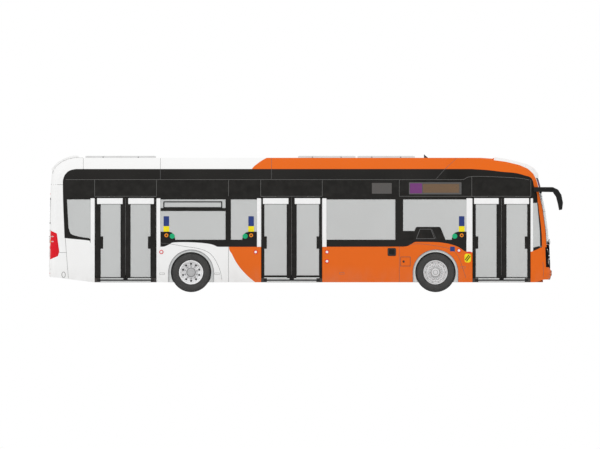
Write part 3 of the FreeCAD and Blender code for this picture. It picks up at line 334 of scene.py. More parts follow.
paint_kerb = livery("paint_kerb", BELT_KERB, True)
paint_driver = livery("paint_driver", BELT_DRIVER, False)
paint_front = livery("paint_front", BELT_KERB, True, True, 0.04)
paint_ends = livery("paint_ends", BELT_KERB, False)
DULL = {"Specular_IOR_Level": 0.2}
MATT = {"Specular_IOR_Level": 0.0}
black_gloss = plain("black_gloss", BLACK, 0.18, 0.02, 240, 0.2, Coat_Weight=0.12, **MATT)
seat_piping = plain("seat_piping", (0.012, 0.016, 0.03), 0.6, 0.3, 900, 0.1, **DULL)
light_cover = plain("light_cover", (0.9, 0.9, 0.88), 0.4, 0.05, 300, 0.01,
                    Emission_Color=(1.0, 0.98, 0.94, 1.0), Emission_Strength=0.25)
rubber = plain("rubber", (0.008, 0.008, 0.008), 0.6, 0.25, 700, 0.2, **DULL)
plastic_black = plain("plastic_black", (0.006, 0.006, 0.006), 0.45, 0.35, 900, 0.2, **DULL)
plastic_grey = plain("plastic_grey", (0.115, 0.115, 0.12), 0.5, 0.3, 900)
grille_black = plain("grille_black", (0.004, 0.004, 0.004), 0.5, 0.1, 500, 0.2, **MATT)
seam_dark = plain("seam_dark", (0.10, 0.10, 0.10), 0.7, 0.1, 500)
seam_grey = plain("seam_grey", (0.16, 0.16, 0.155), 0.6, 0.1, 500, **DULL)
trim_grey = plain("trim_grey", GLASS_GREY, 0.4, 0.1, 400)
white_trim = plain("white_trim", (0.86, 0.86, 0.86), 0.3, 0.02, 300, 0.015)
red_trim, orange_trim, green_trim, blue_trim, yellow_trim = (
    plain(f"{name}_trim", color, 0.35, 0.05, 300, **DULL)
    for name, color in (("red", (0.68, 0.02, 0.03)), ("orange", (0.80, 0.25, 0.01)),
                        ("green", (0.01, 0.40, 0.17)), ("blue", (0.022, 0.045, 0.19)),
                        ("yellow", (0.84, 0.70, 0.01))))
glass_side = pane("glass_side", GLASS_GREY, 0.80)
glass_door = pane("glass_door", GLASS_GREY, 0.80)
glass_front = pane("glass_front", (0.48, 0.51, 0.51), 0.55)
steel = plain("steel", (0.62, 0.62, 0.62), 0.28, 0.08, 600, 0.05, Metallic=1.0)
steel_dull = plain("steel_dull", (0.42, 0.42, 0.43), 0.42, 0.12, 500, 0.08, Metallic=1.0)


# ---------------------------------------------------------------- special materials
def tyre_material():
    shade = Material("tyre_rubber", rough=0.75, Specular_IOR_Level=0.25)
    shade.set("Base Color", shade.mottled((0.054, 0.0535, 0.0525), 0.12, 6.0, 6.0))
    shade.gloss(30.0, 5.0, 0.62, 0.86)
    shade.grain(260.0, 5.0, 0.35, 0.0008)
    return shade.material


def wheel_material(name, color, axle, shadow):
    """Painted wheel: painted shade darker towards the bead, and brake dust in soft patches."""
    shade = Material(name, rough=0.38, Specular_IOR_Level=0.35)
    x, _, z = shade.xyz()
    dx = shade.math("SUBTRACT", x, at(axle))
    dz = shade.math("SUBTRACT", z, TYRE_R)
    radius = shade.math("SQRT", shade.math("ADD", shade.times(dx, dx), shade.times(dz, dz)))
    dust = shade.ranged(shade.noise(9.0, 6.0), 0.0, 0.12)
    base = shade.mottled(color, 0.04, 3.0)
    # Painted shade: the face darkens towards the bead by the amount `shadow`.
    edge = shade.both(shade.above(radius, BEAD_EDGE, 0.012), shadow)
    shade.set("Base Color", shade.blend(shade.either(edge, dust), base, (0.30, 0.30, 0.31)))
    shade.gloss(40.0, 4.0, 0.3, 0.5)
    shade.grain(600.0, 3.0, 0.08, 0.0005)
    return shade.material


def fabric_material():
    """Woven moquette: dark blue warp and weft with scattered small flecks."""
    shade = Material("moquette", rough=0.9, Sheen_Weight=0.35, Sheen_Roughness=0.4, **DULL)
    warp, weft, rise = (shade.wave(way, 0.0035) for way in shade.xyz())
    weave = shade.math("ADD", shade.times(warp, weft), shade.times(rise, weft))
    cells = shade.node("TexVoronoi")
    cells.inputs["Scale"].default_value = 38.0
    shade.feed(cells.inputs["Vector"], shade.place[0])
    fleck = shade.math("LESS_THAN", cells.outputs["Distance"], 0.2)
    base = shade.mottled((0.035, 0.06, 0.17), 0.2, 9.0)
    thread = shade.times(shade.math("ADD", weave, 1.0), 0.12)
    base = shade.blend(thread, base, (0.10, 0.14, 0.30))
    shade.set("Base Color", shade.blend(shade.times(fleck, 0.75), base, (0.75, 0.24, 0.04)))
    shade.relief(weave, 0.35, 0.0007)
    return shade.material


def floor_material():
    """Speckled vinyl sheet."""
    shade = Material("vinyl_floor", rough=0.55)
    specks = shade.math("GREATER_THAN", shade.noise(900.0, 1.0), 0.66)
    base = shade.mottled((0.17, 0.175, 0.185), 0.08, 2.0, 6.0)
    shade.set("Base Color", shade.blend(specks, base, (0.5, 0.5, 0.5)))
    shade.gloss(20.0, 5.0, 0.42, 0.66)
    shade.grain(700.0, 2.0, 0.15, 0.0005)
    return shade.material


def lining_material():
    """Pale inner panels with a fine leather grain and a joint every 0.75 m."""
    shade = Material("lining_panel", rough=0.55)
    phase = shade.math("FRACT", shade.math("DIVIDE", shade.xyz()[0], 0.75))
    joint = shade.math("LESS_THAN", phase, 0.006)
    base = shade.mottled((0.66, 0.665, 0.67), 0.02, 1.5, 4.0)
    shade.set("Base Color", shade.blend(joint, base, (0.35, 0.35, 0.35)))
    shade.grain(500.0, 4.0, 0.12, 0.0005)
    return shade.material


def lamp_material(name, color, glow, pitch, gloss=0.06):
    """Lens over a row of small reflectors."""
    shade = Material(name, rough=0.15, Coat_Weight=gloss, Coat_Roughness=0.03,
                     Specular_IOR_Level=gloss)
    _, y, z = shade.xyz()
    cell = shade.times(shade.wave(z, pitch), shade.wave(y, pitch))
    shade.set("Base Color", shade.tinted(shade.ranged(cell, 0, 1), color, 0.16))
    shade.relief(cell, 0.25, 0.002)
    shade.set("Emission Color", color)
    shade.set("Emission Strength", glow)
    return shade.material


def led_panel(name, color, lit, pitch):
    """Display behind smoked glass: a field of unlit dots, the lit ones a little brighter."""
    shade = Material(name, rough=0.12, **MATT)
    x, _, z = shade.xyz()
    dot = shade.above(shade.times(shade.wave(x, pitch), shade.wave(z, pitch)), 0.45, 0.3)
    shade.set("Base Color", shade.blend(shade.times(dot, 0.6), color, lit))
    return shade.material


def casting_material(name, color, valance=False):
    """Rough painted metal with a little rust; `valance` paints the front overhang orange."""
    shade = Material(name, rough=0.6, Specular_IOR_Level=0.3)
    rust = shade.ranged(shade.noise(7.0, 7.0), 0.0, 0.3)
    base = shade.blend(rust, shade.mottled(color, 0.15, 2.0), (0.10, 0.06, 0.035))
    if valance:
        base = shade.blend(shade.above(shade.xyz()[0], at(FRONT_MODULE)), base, ORANGE)
    shade.set("Base Color", base)
    shade.gloss(25.0, 5.0, 0.45, 0.75)
    shade.grain(180.0, 5.0, 0.3, 0.0012)
    return shade.material


AERIAL_FROM, AERIAL_TO, AERIAL_FOOT = 9.04, 9.22, 3.19


def roof_material():
    """Grey paint of the roof boxes, with a dark aerial and a dusty top."""
    shade = Material("roof_paint", rough=0.45, Specular_IOR_Level=0.3)
    x, y, z = shade.xyz()
    fin = shade.both(shade.above(0.03, shade.math("ABSOLUTE", y)), shade.above(z, AERIAL_FOOT),
                     shade.inside(x, at(AERIAL_FROM), at(AERIAL_TO)))
    dust = shade.ranged(shade.noise(3.0, 6.0), 0.0, 0.25)
    base = shade.blend(dust, shade.mottled((0.66, 0.66, 0.66), 0.03, 9.0), (0.50, 0.49, 0.47))
    shade.set("Base Color", shade.blend(fin, base, (0.06, 0.06, 0.062)))
    shade.grain(350.0, 3.0, 0.08, 0.0005)
    return shade.material


tyre_rubber = tyre_material()
# The rear wheels' paint is lighter than the front's as painted light: it makes up for the shade in
# their deep dish.
wheel_front = wheel_material("wheel_front", (0.70, 0.70, 0.705), AXLE_F, 0.1)
wheel_rear = wheel_material("wheel_rear", (0.95, 0.95, 0.955), AXLE_R, 0.15)
hub_grey = plain("hub_grey", (0.46, 0.46, 0.465), 0.4, 0.05, 500, 0.05, Specular_IOR_Level=0.3)
moquette = fabric_material()
vinyl = floor_material()
lining = lining_material()
lens_red = lamp_material("lens_red", (0.70, 0.012, 0.022), 0.06, 0.022)
lens_smoke = lamp_material("lens_smoke", (0.010, 0.010, 0.011), 0.0, 0.03, 0.0)
lens_clear = lamp_material("lens_clear", (0.72, 0.73, 0.74), 0.0, 0.012)
lens_amber = lamp_material("lens_amber", (0.85, 0.32, 0.02), 0.03, 0.015)
lens_deep = lamp_material("lens_deep", (0.34, 0.35, 0.36), 0.0, 0.012, 0.12)
display_grey = led_panel("display_grey", (0.10, 0.098, 0.098), (0.16, 0.13, 0.10), 0.02)
display_amber = led_panel("display_amber", (0.135, 0.095, 0.07), (0.42, 0.24, 0.09), 0.02)
display_purple = led_panel("display_purple", (0.16, 0.05, 0.17), (0.30, 0.10, 0.32), 0.02)
cast = casting_material("cast", (0.05, 0.05, 0.052))
chassis = casting_material("chassis", (0.035, 0.035, 0.037), True)
liner = plain("arch_liner", (0.80, 0.80, 0.80), 0.6, 0.3, 250, 0.05)
roof_paint = roof_material()
mirror_glass = plain("mirror_glass", (0.85, 0.86, 0.87), 0.03, 0.0, 10, 0.01, Metallic=1.0)
shell_plastic = plain("shell_plastic", (0.22, 0.225, 0.235), 0.35, 0.15, 800, 0.05)
pole_paint = plain("pole_steel", (0.66, 0.66, 0.66), 0.25, 0.06, 900, 0.03, Metallic=1.0)
battery_paint = casting_material("battery_paint", (0.16, 0.17, 0.18))


# ---------------------------------------------------------------- finish of the CAD nodes
FINISH = {
    "front_moulding": paint_front, "rear_moulding": paint_ends, "rear_lid": paint_ends,
    "kerb_wall": paint_kerb, "charge_lid": paint_kerb, "driver_side_wall": paint_driver,
    "roof_fairings": paint_driver, "cantrails": black_gloss, "roof_units": roof_paint,
    "windscreen": glass_front, "side_glass": glass_side, "headlamps": lens_smoke,
    "tail_lamps": lens_red, "charge_socket": plastic_black, "roof_deck": lining,
    "floor": vinyl, "underframe": chassis, "wheel_housings": liner, "rear_platform": lining,
    "rear_battery": battery_paint, "dashboard": plastic_grey, "cab_screen": lining,
    "steering_wheel": plastic_black, "seat_cushions": moquette, "seat_frames": shell_plastic,
    "grab_poles": pole_paint, "mirrors": plastic_black, "front_axle": cast, "rear_axle": cast,
    "left_knuckle": cast, "right_knuckle": cast,
}
ENDINGS = {
    "_leaf": black_gloss, "_glass": glass_door, "_post": steel_dull, "_tyre": tyre_rubber,
}
for name, node in nodes.items():
    material = FINISH.get(name)
    if material is None and name.endswith("_rim"):
        material = wheel_front if name.startswith("front") else wheel_rear
    if material is None:
        material = next(m for ending, m in ENDINGS.items() if name.endswith(ending))
    node.data.materials.clear()
    node.data.materials.append(material)


# ---------------------------------------------------------------- mesh making
def inset(points, by):
    """A closed outline with each side moved inwards by a distance."""
    count = len(points)
    area = sum(points[i][0] * points[(i + 1) % count][1] - points[(i + 1) % count][0] * points[i][1]
               for i in range(count))
    turn = -1 if area > 0 else 1
    lines = []
    for i in range(count):
        (u0, v0), (u1, v1) = points[i], points[(i + 1) % count]
        size = math.hypot(u1 - u0, v1 - v0)
        nu, nv = turn * (v1 - v0) / size, -turn * (u1 - u0) / size
        lines.append((nu, nv, nu * u0 + nv * v0 + by))
    moved = []
    for i in range(count):
        (a, b, c), (d, e, f) = lines[i - 1], lines[i]
        det = a * e - b * d
        if abs(det) < 1e-6:
            moved.append((points[i][0] + a * by, points[i][1] + b * by))
        else:
            moved.append(((c * e - b * f) / det, (a * f - c * d) / det))
    return moved


def rounded(points, radius, steps=4):
    """A closed outline with its corners rounded."""
    out = []
    count = len(points)
    for i, corner in enumerate(points):
        p = Vector(corner)
        ends = []
        for other in (points[i - 1], points[(i + 1) % count]):
            way = Vector(other) - p
            ends.append(p + way.normalized() * min(radius, way.length * 0.45))
        for k in range(steps + 1):
            t = k / steps
            q = ends[0] * (1 - t) ** 2 + p * 2 * t * (1 - t) + ends[1] * t ** 2
            out.append((q.x, q.y))
    return out


def oblong(u0, u1, v0, v1, radius=0.0):
    points = [(u0, v0), (u1, v0), (u1, v1), (u0, v1)]
    return rounded(points, radius) if radius else points


def turns(count, start=0.0):
    """Angles of a number of even steps round a circle."""
    return [start + 2 * math.pi * k / count for k in range(count)]


def disc(u, v, radius, count=24, tall=1.0):
    return [(u + radius * math.cos(a), v + radius * tall * math.sin(a)) for a in turns(count)]


def smooth_line(points, step=0.04):
    """Points along a Catmull-Rom line through a few points."""
    line = [Vector(p) for p in points]
    line = [line[0] * 2 - line[1]] + line + [line[-1] * 2 - line[-2]]
    out = []
    for a, b, c, d in zip(line, line[1:], line[2:], line[3:]):
        parts = max(1, math.ceil((c - b).length / step))
        for k in range(parts):
            t = k / parts
            out.append(((b * 2) + (c - a) * t + (a * 2 - b * 5 + c * 4 - d) * t ** 2
                        + (b * 3 - a - c * 3 + d) * t ** 3) / 2)
    return [tuple(p) for p in out] + [tuple(line[-2])]


class Batch:
    """Geometry gathered into one mesh piece, with a few materials."""

    def __init__(self, material):
        self.mesh = bmesh.new()
        self.materials = [material]
        self.index = 0

    def use(self, material):
        if material not in self.materials:
            self.materials.append(material)
        self.index = self.materials.index(material)
        return self

    def loft(self, loops, around=False):
        """Faces between closed loops of equally many points; `around` joins the last to the first."""
        rows = [[self.mesh.verts.new(p) for p in loop] for loop in loops]
        if around:
            rows.append(rows[0])
        count = len(rows[0])
        made = []
        for near, far in zip(rows, rows[1:]):
            for i in range(count):
                k = (i + 1) % count
                made.append(self.mesh.faces.new((near[i], near[k], far[k], far[i])))
        if not around:
            made += [self.mesh.faces.new(rows[0][::-1]), self.mesh.faces.new(rows[-1])]
        for face in made:
            face.material_index = self.index
        return self

    def stack(self, levels, place, around=False):
        """Faces between (outline, depth) levels on a surface."""
        return self.loft([[place(u, v, w) for u, v in line] for line, w in levels], around)

    def slab(self, outline, place, out, back=0.0, chamfer=0.0015):
        """A plate of an outline, from depth `back` to depth `out`, its front edge chamfered."""
        return self.stack([(outline, back), (outline, out - chamfer),
                           (inset(outline, chamfer), out)], place)

    def bar(self, along, across, tall, chamfer=0.002):
        """A box from (from, to) along the bus, across it and in height."""
        low, high = ((at(u), y, z) for u, y, z in zip(along, across, tall))
        return self.block(low, high, chamfer)

    def rim(self, outline, width, place, out, back=0.0, chamfer=0.0015):
        """A frame of a given width along the inside of an outline."""
        levels = [(outline, back), (outline, out - chamfer), (inset(outline, chamfer), out),
                  (inset(outline, width - chamfer), out), (inset(outline, width), out - chamfer),
                  (inset(outline, width), back)]
        return self.stack(levels, place, around=True)

    def strip(self, path, width, place, out=0.0012, back=-0.001, step=0.05):
        """A flat bead along a line on a surface."""
        line = []
        for (u0, v0), (u1, v1) in zip(path, path[1:]):
            parts = max(1, math.ceil(math.hypot(u1 - u0, v1 - v0) / step))
            line += [(u0 + (u1 - u0) * k / parts, v0 + (v1 - v0) * k / parts) for k in range(parts)]
        line.append(path[-1])
        loops = []
        for i, (u, v) in enumerate(line):
            (ua, va), (ub, vb) = line[max(0, i - 1)], line[min(len(line) - 1, i + 1)]
            size = math.hypot(ub - ua, vb - va)
            nu, nv = -(vb - va) / size * width / 2, (ub - ua) / size * width / 2
            loops.append([place(u - nu, v - nv, back), place(u - nu, v - nv, out),
                          place(u + nu, v + nv, out), place(u + nu, v + nv, back)])
        return self.loft(loops)

    def tube(self, path, radius, sides=10, flat=1.0):
        """A round bar along a line of points."""
        points = [Vector(p) for p in path]
        side = None
        loops = []
        for i, p in enumerate(points):
            way = (points[min(i + 1, len(points) - 1)] - points[max(i - 1, 0)]).normalized()
            if side is None:
                side = way.orthogonal().normalized()
            side = (side - way * side.dot(way)).normalized()
            up = way.cross(side)
            loops.append([p + side * radius * math.cos(a) + up * radius * flat * math.sin(a)
                          for a in turns(sides)])
        return self.loft(loops)

    def lathe(self, profile, centre, axis, count=32, around=False):
        """A turned form: (radius, depth along the axis) points."""
        axis = Vector(axis).normalized()
        side = axis.orthogonal().normalized()
        up = axis.cross(side)
        centre = Vector(centre)
        return self.loft([[centre + axis * w + (side * math.cos(a) + up * math.sin(a)) * max(r, 1e-4)
                           for a in turns(count)] for r, w in profile], around)

    def block(self, low, high, chamfer=0.002):
        """A box between two corners with chamfered edges."""
        low, high = Vector(low), Vector(high)
        size = high - low
        made = bmesh.ops.create_cube(self.mesh, size=1.0)["verts"]
        for v in made:
            v.co = low + Vector((v.co[k] + 0.5) * size[k] for k in range(3))
        faces = {f for v in made for f in v.link_faces}
        for face in faces:
            face.material_index = self.index
        edges = {e for v in made for e in v.link_edges}
        bmesh.ops.bevel(self.mesh, geom=list(edges), offset=min(chamfer, min(size) * 0.3),
                        segments=2, affect="EDGES", material=-1)
        return self

    def finish(self, name, body="body", slot=None, angle=38.0, replaces=()):
        bmesh.ops.recalc_face_normals(self.mesh, faces=self.mesh.faces[:])
        data = bpy.data.meshes.new(name)
        self.mesh.to_mesh(data)
        self.mesh.free()
        for material in self.materials:
            data.materials.append(material)
        data.shade_smooth()
        data.set_sharp_from_angle(angle=math.radians(angle))
        piece = bpy.data.objects.new(name, data)
        bpy.context.scene.collection.objects.link(piece)
        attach(piece, body)
        if replaces:
            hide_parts(*replaces)
        return piece


def skin_of(*names):
    """The surface of some CAD nodes, to cast rays at."""
    points, faces = [], []
    for name in names:
        base = len(points)
        points += [v.co.copy() for v in nodes[name].data.vertices]
        faces += [[base + i for i in p.vertices] for p in nodes[name].data.polygons]
    return BVHTree.FromPolygons(points, faces)


body_skin = skin_of("front_moulding", "rear_moulding", "roof_fairings", "cantrails", "kerb_wall",
                    "driver_side_wall", "windscreen", "headlamps", "tail_lamps", "rear_lid",
                    "side_glass")


# A place turns (along, height, depth out of the surface) into a point.
def flat_side(side):
    return lambda u, v, w: Vector((at(u), side * (HALF + w), v))


def cast_on(origin, direction, skin=body_skin):
    """Point and outward normal where a ray meets the body."""
    point, normal, *_ = skin.ray_cast(Vector(origin), Vector(direction))
    if point is None:
        raise ValueError(f"nothing at {origin}")
    return point, -normal if normal.dot(Vector(direction)) > 0 else normal


def curved_side(side):
    def place(u, v, w):
        point, normal = cast_on((at(u), side * 3.0, v), (0, -side, 0))
        return point + normal * w
    return place


END_REACH = 3.0       # a hit farther off than this has gone through a gap between mouldings
GAP_STEPS = (0.0, 0.006, -0.006, 0.012, -0.012, 0.02, -0.02, 0.03, -0.03)


def on_end(way):
    """Places on the front (way -1) or the rear (way 1): across, height, depth."""
    def place(u, v, w):
        for lift in GAP_STEPS:
            start = Vector((-8.0 * way, u, v + lift))
            point, normal = cast_on(start, (way, 0, 0))
            if (point - start).length < END_REACH:
                return point - Vector((0, 0, lift)) + normal * w
        raise ValueError(f"no end surface at {u}, {v}")
    return place


on_front, on_rear = on_end(-1), on_end(1)
kerb, driver = flat_side(KERB), flat_side(DRIVER)
kerb_form, driver_form = curved_side(KERB), curved_side(DRIVER)


# ---------------------------------------------------------------- seams between panels
BAND_JOINTS = [1.101, 2.595, 4.333, 5.11, 6.597, 8.456]
CANT_LINE, DOOR_LINE, ROOF_FOOT = 2.717, 2.314, 2.731
BAND_END, SKIRT_FOOT = 11.631, 0.247
REAR_ARCH_LINE = [(2.70, 1.180), (2.921, 1.162), (3.259, 1.107), (3.693, 1.03), (3.947, 0.873),
                  (4.116, 0.559), (4.176, 0.293)]
FRONT_ARCH_LINE = [(8.70, 1.155), (8.95, 1.166), (9.27, 1.13), (9.68, 1.042), (9.849, 0.906),
                   (9.946, 0.704), (10.066, 0.342)]
FRONT_CANT = [(10.006, CANT_LINE), (10.192, 2.790), (10.75, 2.785), (11.30, 2.755),
              (BAND_END, 2.705)]
ROOF_JOINTS = [(0.828, BAND_TOP), (2.689, ROOF_FOOT), (5.371, ROOF_FOOT)]
# Joints of the roof over the cab and of the two ends.
FORM_JOINTS = [
    [(9.342, ROOF_FOOT), (9.559, 2.973), (9.849, 3.238)],
    [(0.062, 2.599), (0.331, 2.593)], [(0.245, 0.957), (0.415, 0.957)],
    [(0.393, 1.307), (0.43, 0.80), (0.468, 0.335)],
    [(11.925, 0.725), (11.940, 0.50), (11.925, 0.345)],
]
THIN = 0.007


def side_seams(place, form):
    """The joints between the body panels of one side: band, roof and lower panels."""
    lines = Batch(seam_grey)
    for u in BAND_JOINTS:
        lines.strip([(u, DOOR_LINE), (u, CANT_LINE)], THIN, place)
    lines.strip([(10.206, DOOR_LINE), (10.206, 2.79)], THIN, form)
    lines.strip([(BAND_END, DOOR_LINE), (BAND_END, 2.705)], THIN, place)
    lines.strip([(0.40, CANT_LINE), (10.006, CANT_LINE)], THIN, place, step=0.5)
    lines.strip(smooth_line(FRONT_CANT), THIN, form)
    for u0, u1 in (BAND_JOINTS[0:2], BAND_JOINTS[3:5], (BAND_JOINTS[5], BAND_END)):
        lines.strip([(u0, DOOR_LINE), (u1, DOOR_LINE)], THIN, place, step=0.5)
    lines.use(seam_dark)
    for u, v in ROOF_JOINTS:
        lines.strip([(u, v), (u, 3.236)], THIN, form)
    for path in FORM_JOINTS:
        lines.strip(path, THIN, form)
    for path in (REAR_ARCH_LINE, FRONT_ARCH_LINE):
        lines.strip(smooth_line(path), THIN, place)
    for u in (BAND_JOINTS[2], BAND_JOINTS[5]):
        lines.strip([(u, SKIRT_FOOT), (u, 1.10)], THIN, place, step=0.5)
    return lines


side_seams(kerb, kerb_form).finish("kerb_panel_seams", slot="paint_black")
side_seams(driver, driver_form).finish("driver_panel_seams", slot="paint_black")


# ---------------------------------------------------------------- posts beside the doors
# From, to, foot: the two posts of the middle door stand on the window sill.
POSTS = [(1.002, 1.098, 1.083), (2.599, 2.686, 1.083), (5.021, 5.114, 1.266),
         (6.602, 6.697, 1.266), (10.082, 10.199, 1.083), (11.635, 11.680, 1.083)]
post_caps = Batch(white_trim)
for u0, u1, low in POSTS:
    post_caps.slab(oblong(u0, u1, low, 2.266), kerb, 0.0015, chamfer=0.001)
post_caps.finish("door_post_covers", slot="paint_body")


# ---------------------------------------------------------------- side windows
PANE_FOOT = 1.262
PANE_BED = -0.006           # plates on a pane start this far behind the body's face
PANE_FROM, PANE_TO = 2.690, 4.263                       # the pane with an opening upper part
TRANSOM_LOW, TRANSOM_HIGH = 1.959, 2.031
frames = Batch(black_gloss)
frames.slab(oblong(PANE_FROM, PANE_TO, TRANSOM_LOW, TRANSOM_HIGH), kerb, 0.004, back=PANE_BED)
frames.rim(oblong(2.759, 4.183, TRANSOM_HIGH - 0.004, 2.193, 0.02), 0.026, kerb, 0.003,
           back=PANE_BED)
# The last window's raised sill, with the black cover of the console behind it.
SILL_STEP = [(8.546, PANE_FOOT), (8.546, 1.478), (8.821, 1.478), (8.856, 1.560), (8.884, 1.575),
             (9.420, 1.575), (9.452, 1.560), (9.572, PANE_FOOT)]
frames.slab(SILL_STEP, kerb, 0.0005, back=-0.008, chamfer=0.001)
frames.use(seam_dark)
frames.rim([(8.859, 1.285), (8.950, 1.528), (9.221, 1.528), (9.318, 1.285)], 0.012, kerb, 0.002,
           chamfer=0.0006)
frames.strip([(9.236, 1.528), (9.345, 1.285)], THIN, kerb)
frames.use(black_gloss)
# Rounded lower corner of the first pane, and the black border of the quarter glass.
FIRST_CORNER = [(0.456, 1.559), (0.483, 1.467), (0.53, 1.41), (0.588, 1.378), (0.745, 1.338),
                (1.0, 1.300)]
frames.slab([(0.415, 1.60), (0.45, 1.60)] + smooth_line(FIRST_CORNER)
            + [(1.0, PANE_FOOT), (0.55, 1.318), (0.445, 1.40)], kerb_form, 0.0008, back=-0.008,
            chamfer=0.0005)
frames.strip([(11.690, 1.051), (11.872, 1.100)], 0.048, kerb_form, 0.001, back=PANE_BED)
frames.strip([(11.797, 2.15), (11.858, 1.50), (11.868, 1.12)], 0.022, kerb_form, 0.001, back=PANE_BED)
frames.finish("kerb_window_frames", slot="paint_black")

# Housings, cards and push plates in the window corners beside the doors.
CORNERS = [     # along of the post, way into the pane, along of the card's centre
    (PANE_FROM, 1, 2.833),
    (5.020, -1, 4.879),
    (10.080, -1, 9.962),
]
HOUSING = [(0, PANE_FOOT), (0, 1.459), (0.20, 1.459), (0.27, 1.44), (0.33, 1.39),
           (0.36, PANE_FOOT)]
corner_boxes = Batch(plastic_black)
for post, way, card in CORNERS:
    plates = (          # material, outline, depth of the face, of the back, chamfer
        (plastic_black, [(post + way * u, v) for u, v in HOUSING], 0.001, PANE_BED, 0.0015),
        (green_trim, disc(post + way * 0.285, 1.352, 0.062), 0.0035, 0.0, 0.0015),
        (orange_trim, disc(card, 1.372, 0.046), 0.004, 0.0, 0.0015),
        (plastic_black, disc(card, 1.372, 0.022), 0.005, 0.0, 0.0015),
        (blue_trim, oblong(card - 0.066, card + 0.066, 1.594, 1.832, 0.008), 0.001, PANE_BED,
         0.0005),
        (yellow_trim, oblong(card - 0.070, card + 0.070, 1.461, 1.592, 0.008), 0.001, PANE_BED,
         0.0005),
    )
    for material, outline, out, back, chamfer in plates:
        corner_boxes.use(material).slab(outline, kerb, out, back, chamfer)
corner_boxes.finish("window_corner_plates", slot="plastic_black")

# ---------------------------------------------------------------- controls and flaps on the side
BUTTONS = [(2.713, 0.969), (4.990, 0.969), (6.711, 0.969), (6.711, 0.745), (9.897, 1.005)]
BUTTON_RING = [(0.050, -0.001), (0.050, 0.004), (0.046, 0.009), (0.034, 0.010), (0.031, 0.006)]
BUTTON_FACE = [(0.031, 0.002), (0.031, 0.007), (0.027, 0.010), (0.012, 0.0115), (0.0, 0.012)]
controls = Batch(red_trim)
for u, v in BUTTONS:
    for material, profile in ((red_trim, BUTTON_RING), (white_trim, BUTTON_FACE)):
        controls.use(material).lathe(profile, kerb(u, v, 0), (0, KERB, 0))
# Bare signs beside the front door, one of them an oval with two bars.
controls.use(blue_trim).slab(oblong(9.683, 9.797, 0.985, 1.099, 0.006), kerb, 0.0016)
controls.use(red_trim).slab(oblong(10.088, 10.185, 0.938, 0.978, 0.006), kerb, 0.0016)
controls.use(yellow_trim).slab(oblong(10.030, 10.184, 0.715, 0.930, 0.065), kerb, 0.0016)
controls.use(plastic_black)
for path in ([(10.045, 0.775), (10.140, 0.900)], [(10.075, 0.745), (10.170, 0.870)]):
    controls.strip(path, 0.022, kerb, 0.0026, 0.001)
controls.slab(oblong(8.174, 8.377, 0.873, 1.066, 0.035), kerb, 0.006, chamfer=0.004)
controls.use(seam_grey)
controls.rim(oblong(8.192, 8.359, 0.891, 1.048, 0.028), 0.006, kerb, 0.0068, back=0.005)
controls.use(seam_dark)
controls.rim(oblong(8.482, 8.728, 0.625, 0.855, 0.010), THIN, kerb, 0.0012, chamfer=0.0004)
controls.finish("side_controls", slot="plastic_black")

latch = Batch(plastic_black)
latch.lathe([(0.026, -0.001), (0.026, 0.005), (0.020, 0.008), (0.0, 0.008)], kerb(8.560, 0.74, 0),
            (0, KERB, 0), 20)
latch.use(seam_grey).block(kerb(8.553, 0.736, 0.010), kerb(8.585, 0.744, 0.006), 0.001)
latch.finish("charge_lid_latch", "charge_lid", slot="plastic_black")

# Blank data plates low on the side, and the round cover near the rear end.
PLATES = [(2.73, 0.445), (4.055, 0.445), (7.07, 0.455), (9.995, 0.60)]
plates = Batch(trim_grey)
for u, v in PLATES:
    outline = oblong(u - 0.06, u + 0.06, v - 0.022, v + 0.022, 0.006)
    plates.use(paint_kerb).slab(outline, kerb, 0.0008, chamfer=0.0004)
    plates.use(seam_grey).rim(outline, 0.006, kerb, 0.0012, chamfer=0.0004)
plates.rim(rounded(disc(0.352, 0.42, 0.05, 12, 1.5), 0.01), 0.012, kerb_form, 0.002, chamfer=0.0005)
plates.finish("side_plates", slot="plastic_grey")

# ---------------------------------------------------------------- displays
DISPLAY_FACES = [     # material, from, to, foot, top, depth, chamfer
    (display_grey, 8.705, 9.941, 2.377, 2.635, 0.001, 0.0005),
    (display_purple, 8.712, 9.005, 2.384, 2.628, 0.0016, 0.0004),
    (display_amber, 9.03, 9.90, 2.402, 2.612, 0.0016, 0.0004),
]
displays = Batch(plastic_black)
for place in (kerb, driver):
    displays.use(seam_dark).rim(oblong(8.690, 9.956, 2.362, 2.650, 0.01), 0.016, place, 0.002)
    for material, u0, u1, v0, v1, out, chamfer in DISPLAY_FACES:
        displays.use(material).slab(oblong(u0, u1, v0, v1), place, out, chamfer=chamfer)
displays.use(display_grey).slab(oblong(7.795, 8.273, 2.377, 2.635, 0.008), kerb, 0.0016)
displays.finish("side_displays", slot="plastic_grey")


# ---------------------------------------------------------------- door leaves
LEAF_BANDS = {      # white band over the glass: from, to along the bus
    "rear_door_aft": (1.161, 1.777), "rear_door_fore": (1.914, 2.532),
    "mid_door_aft": (5.166, 5.780), "mid_door_fore": (5.932, 6.545),
    "front_door_aft": (10.262, 10.855), "front_door_fore": (10.990, 11.588),
}
BAND_LOW, BAND_HIGH = 2.128, 2.268
LEAF_DEPTH = 0.040
GRIP_FOOT, GRIP_TOP = 0.86, 1.74        # ends of the rail on a leaf's inner face


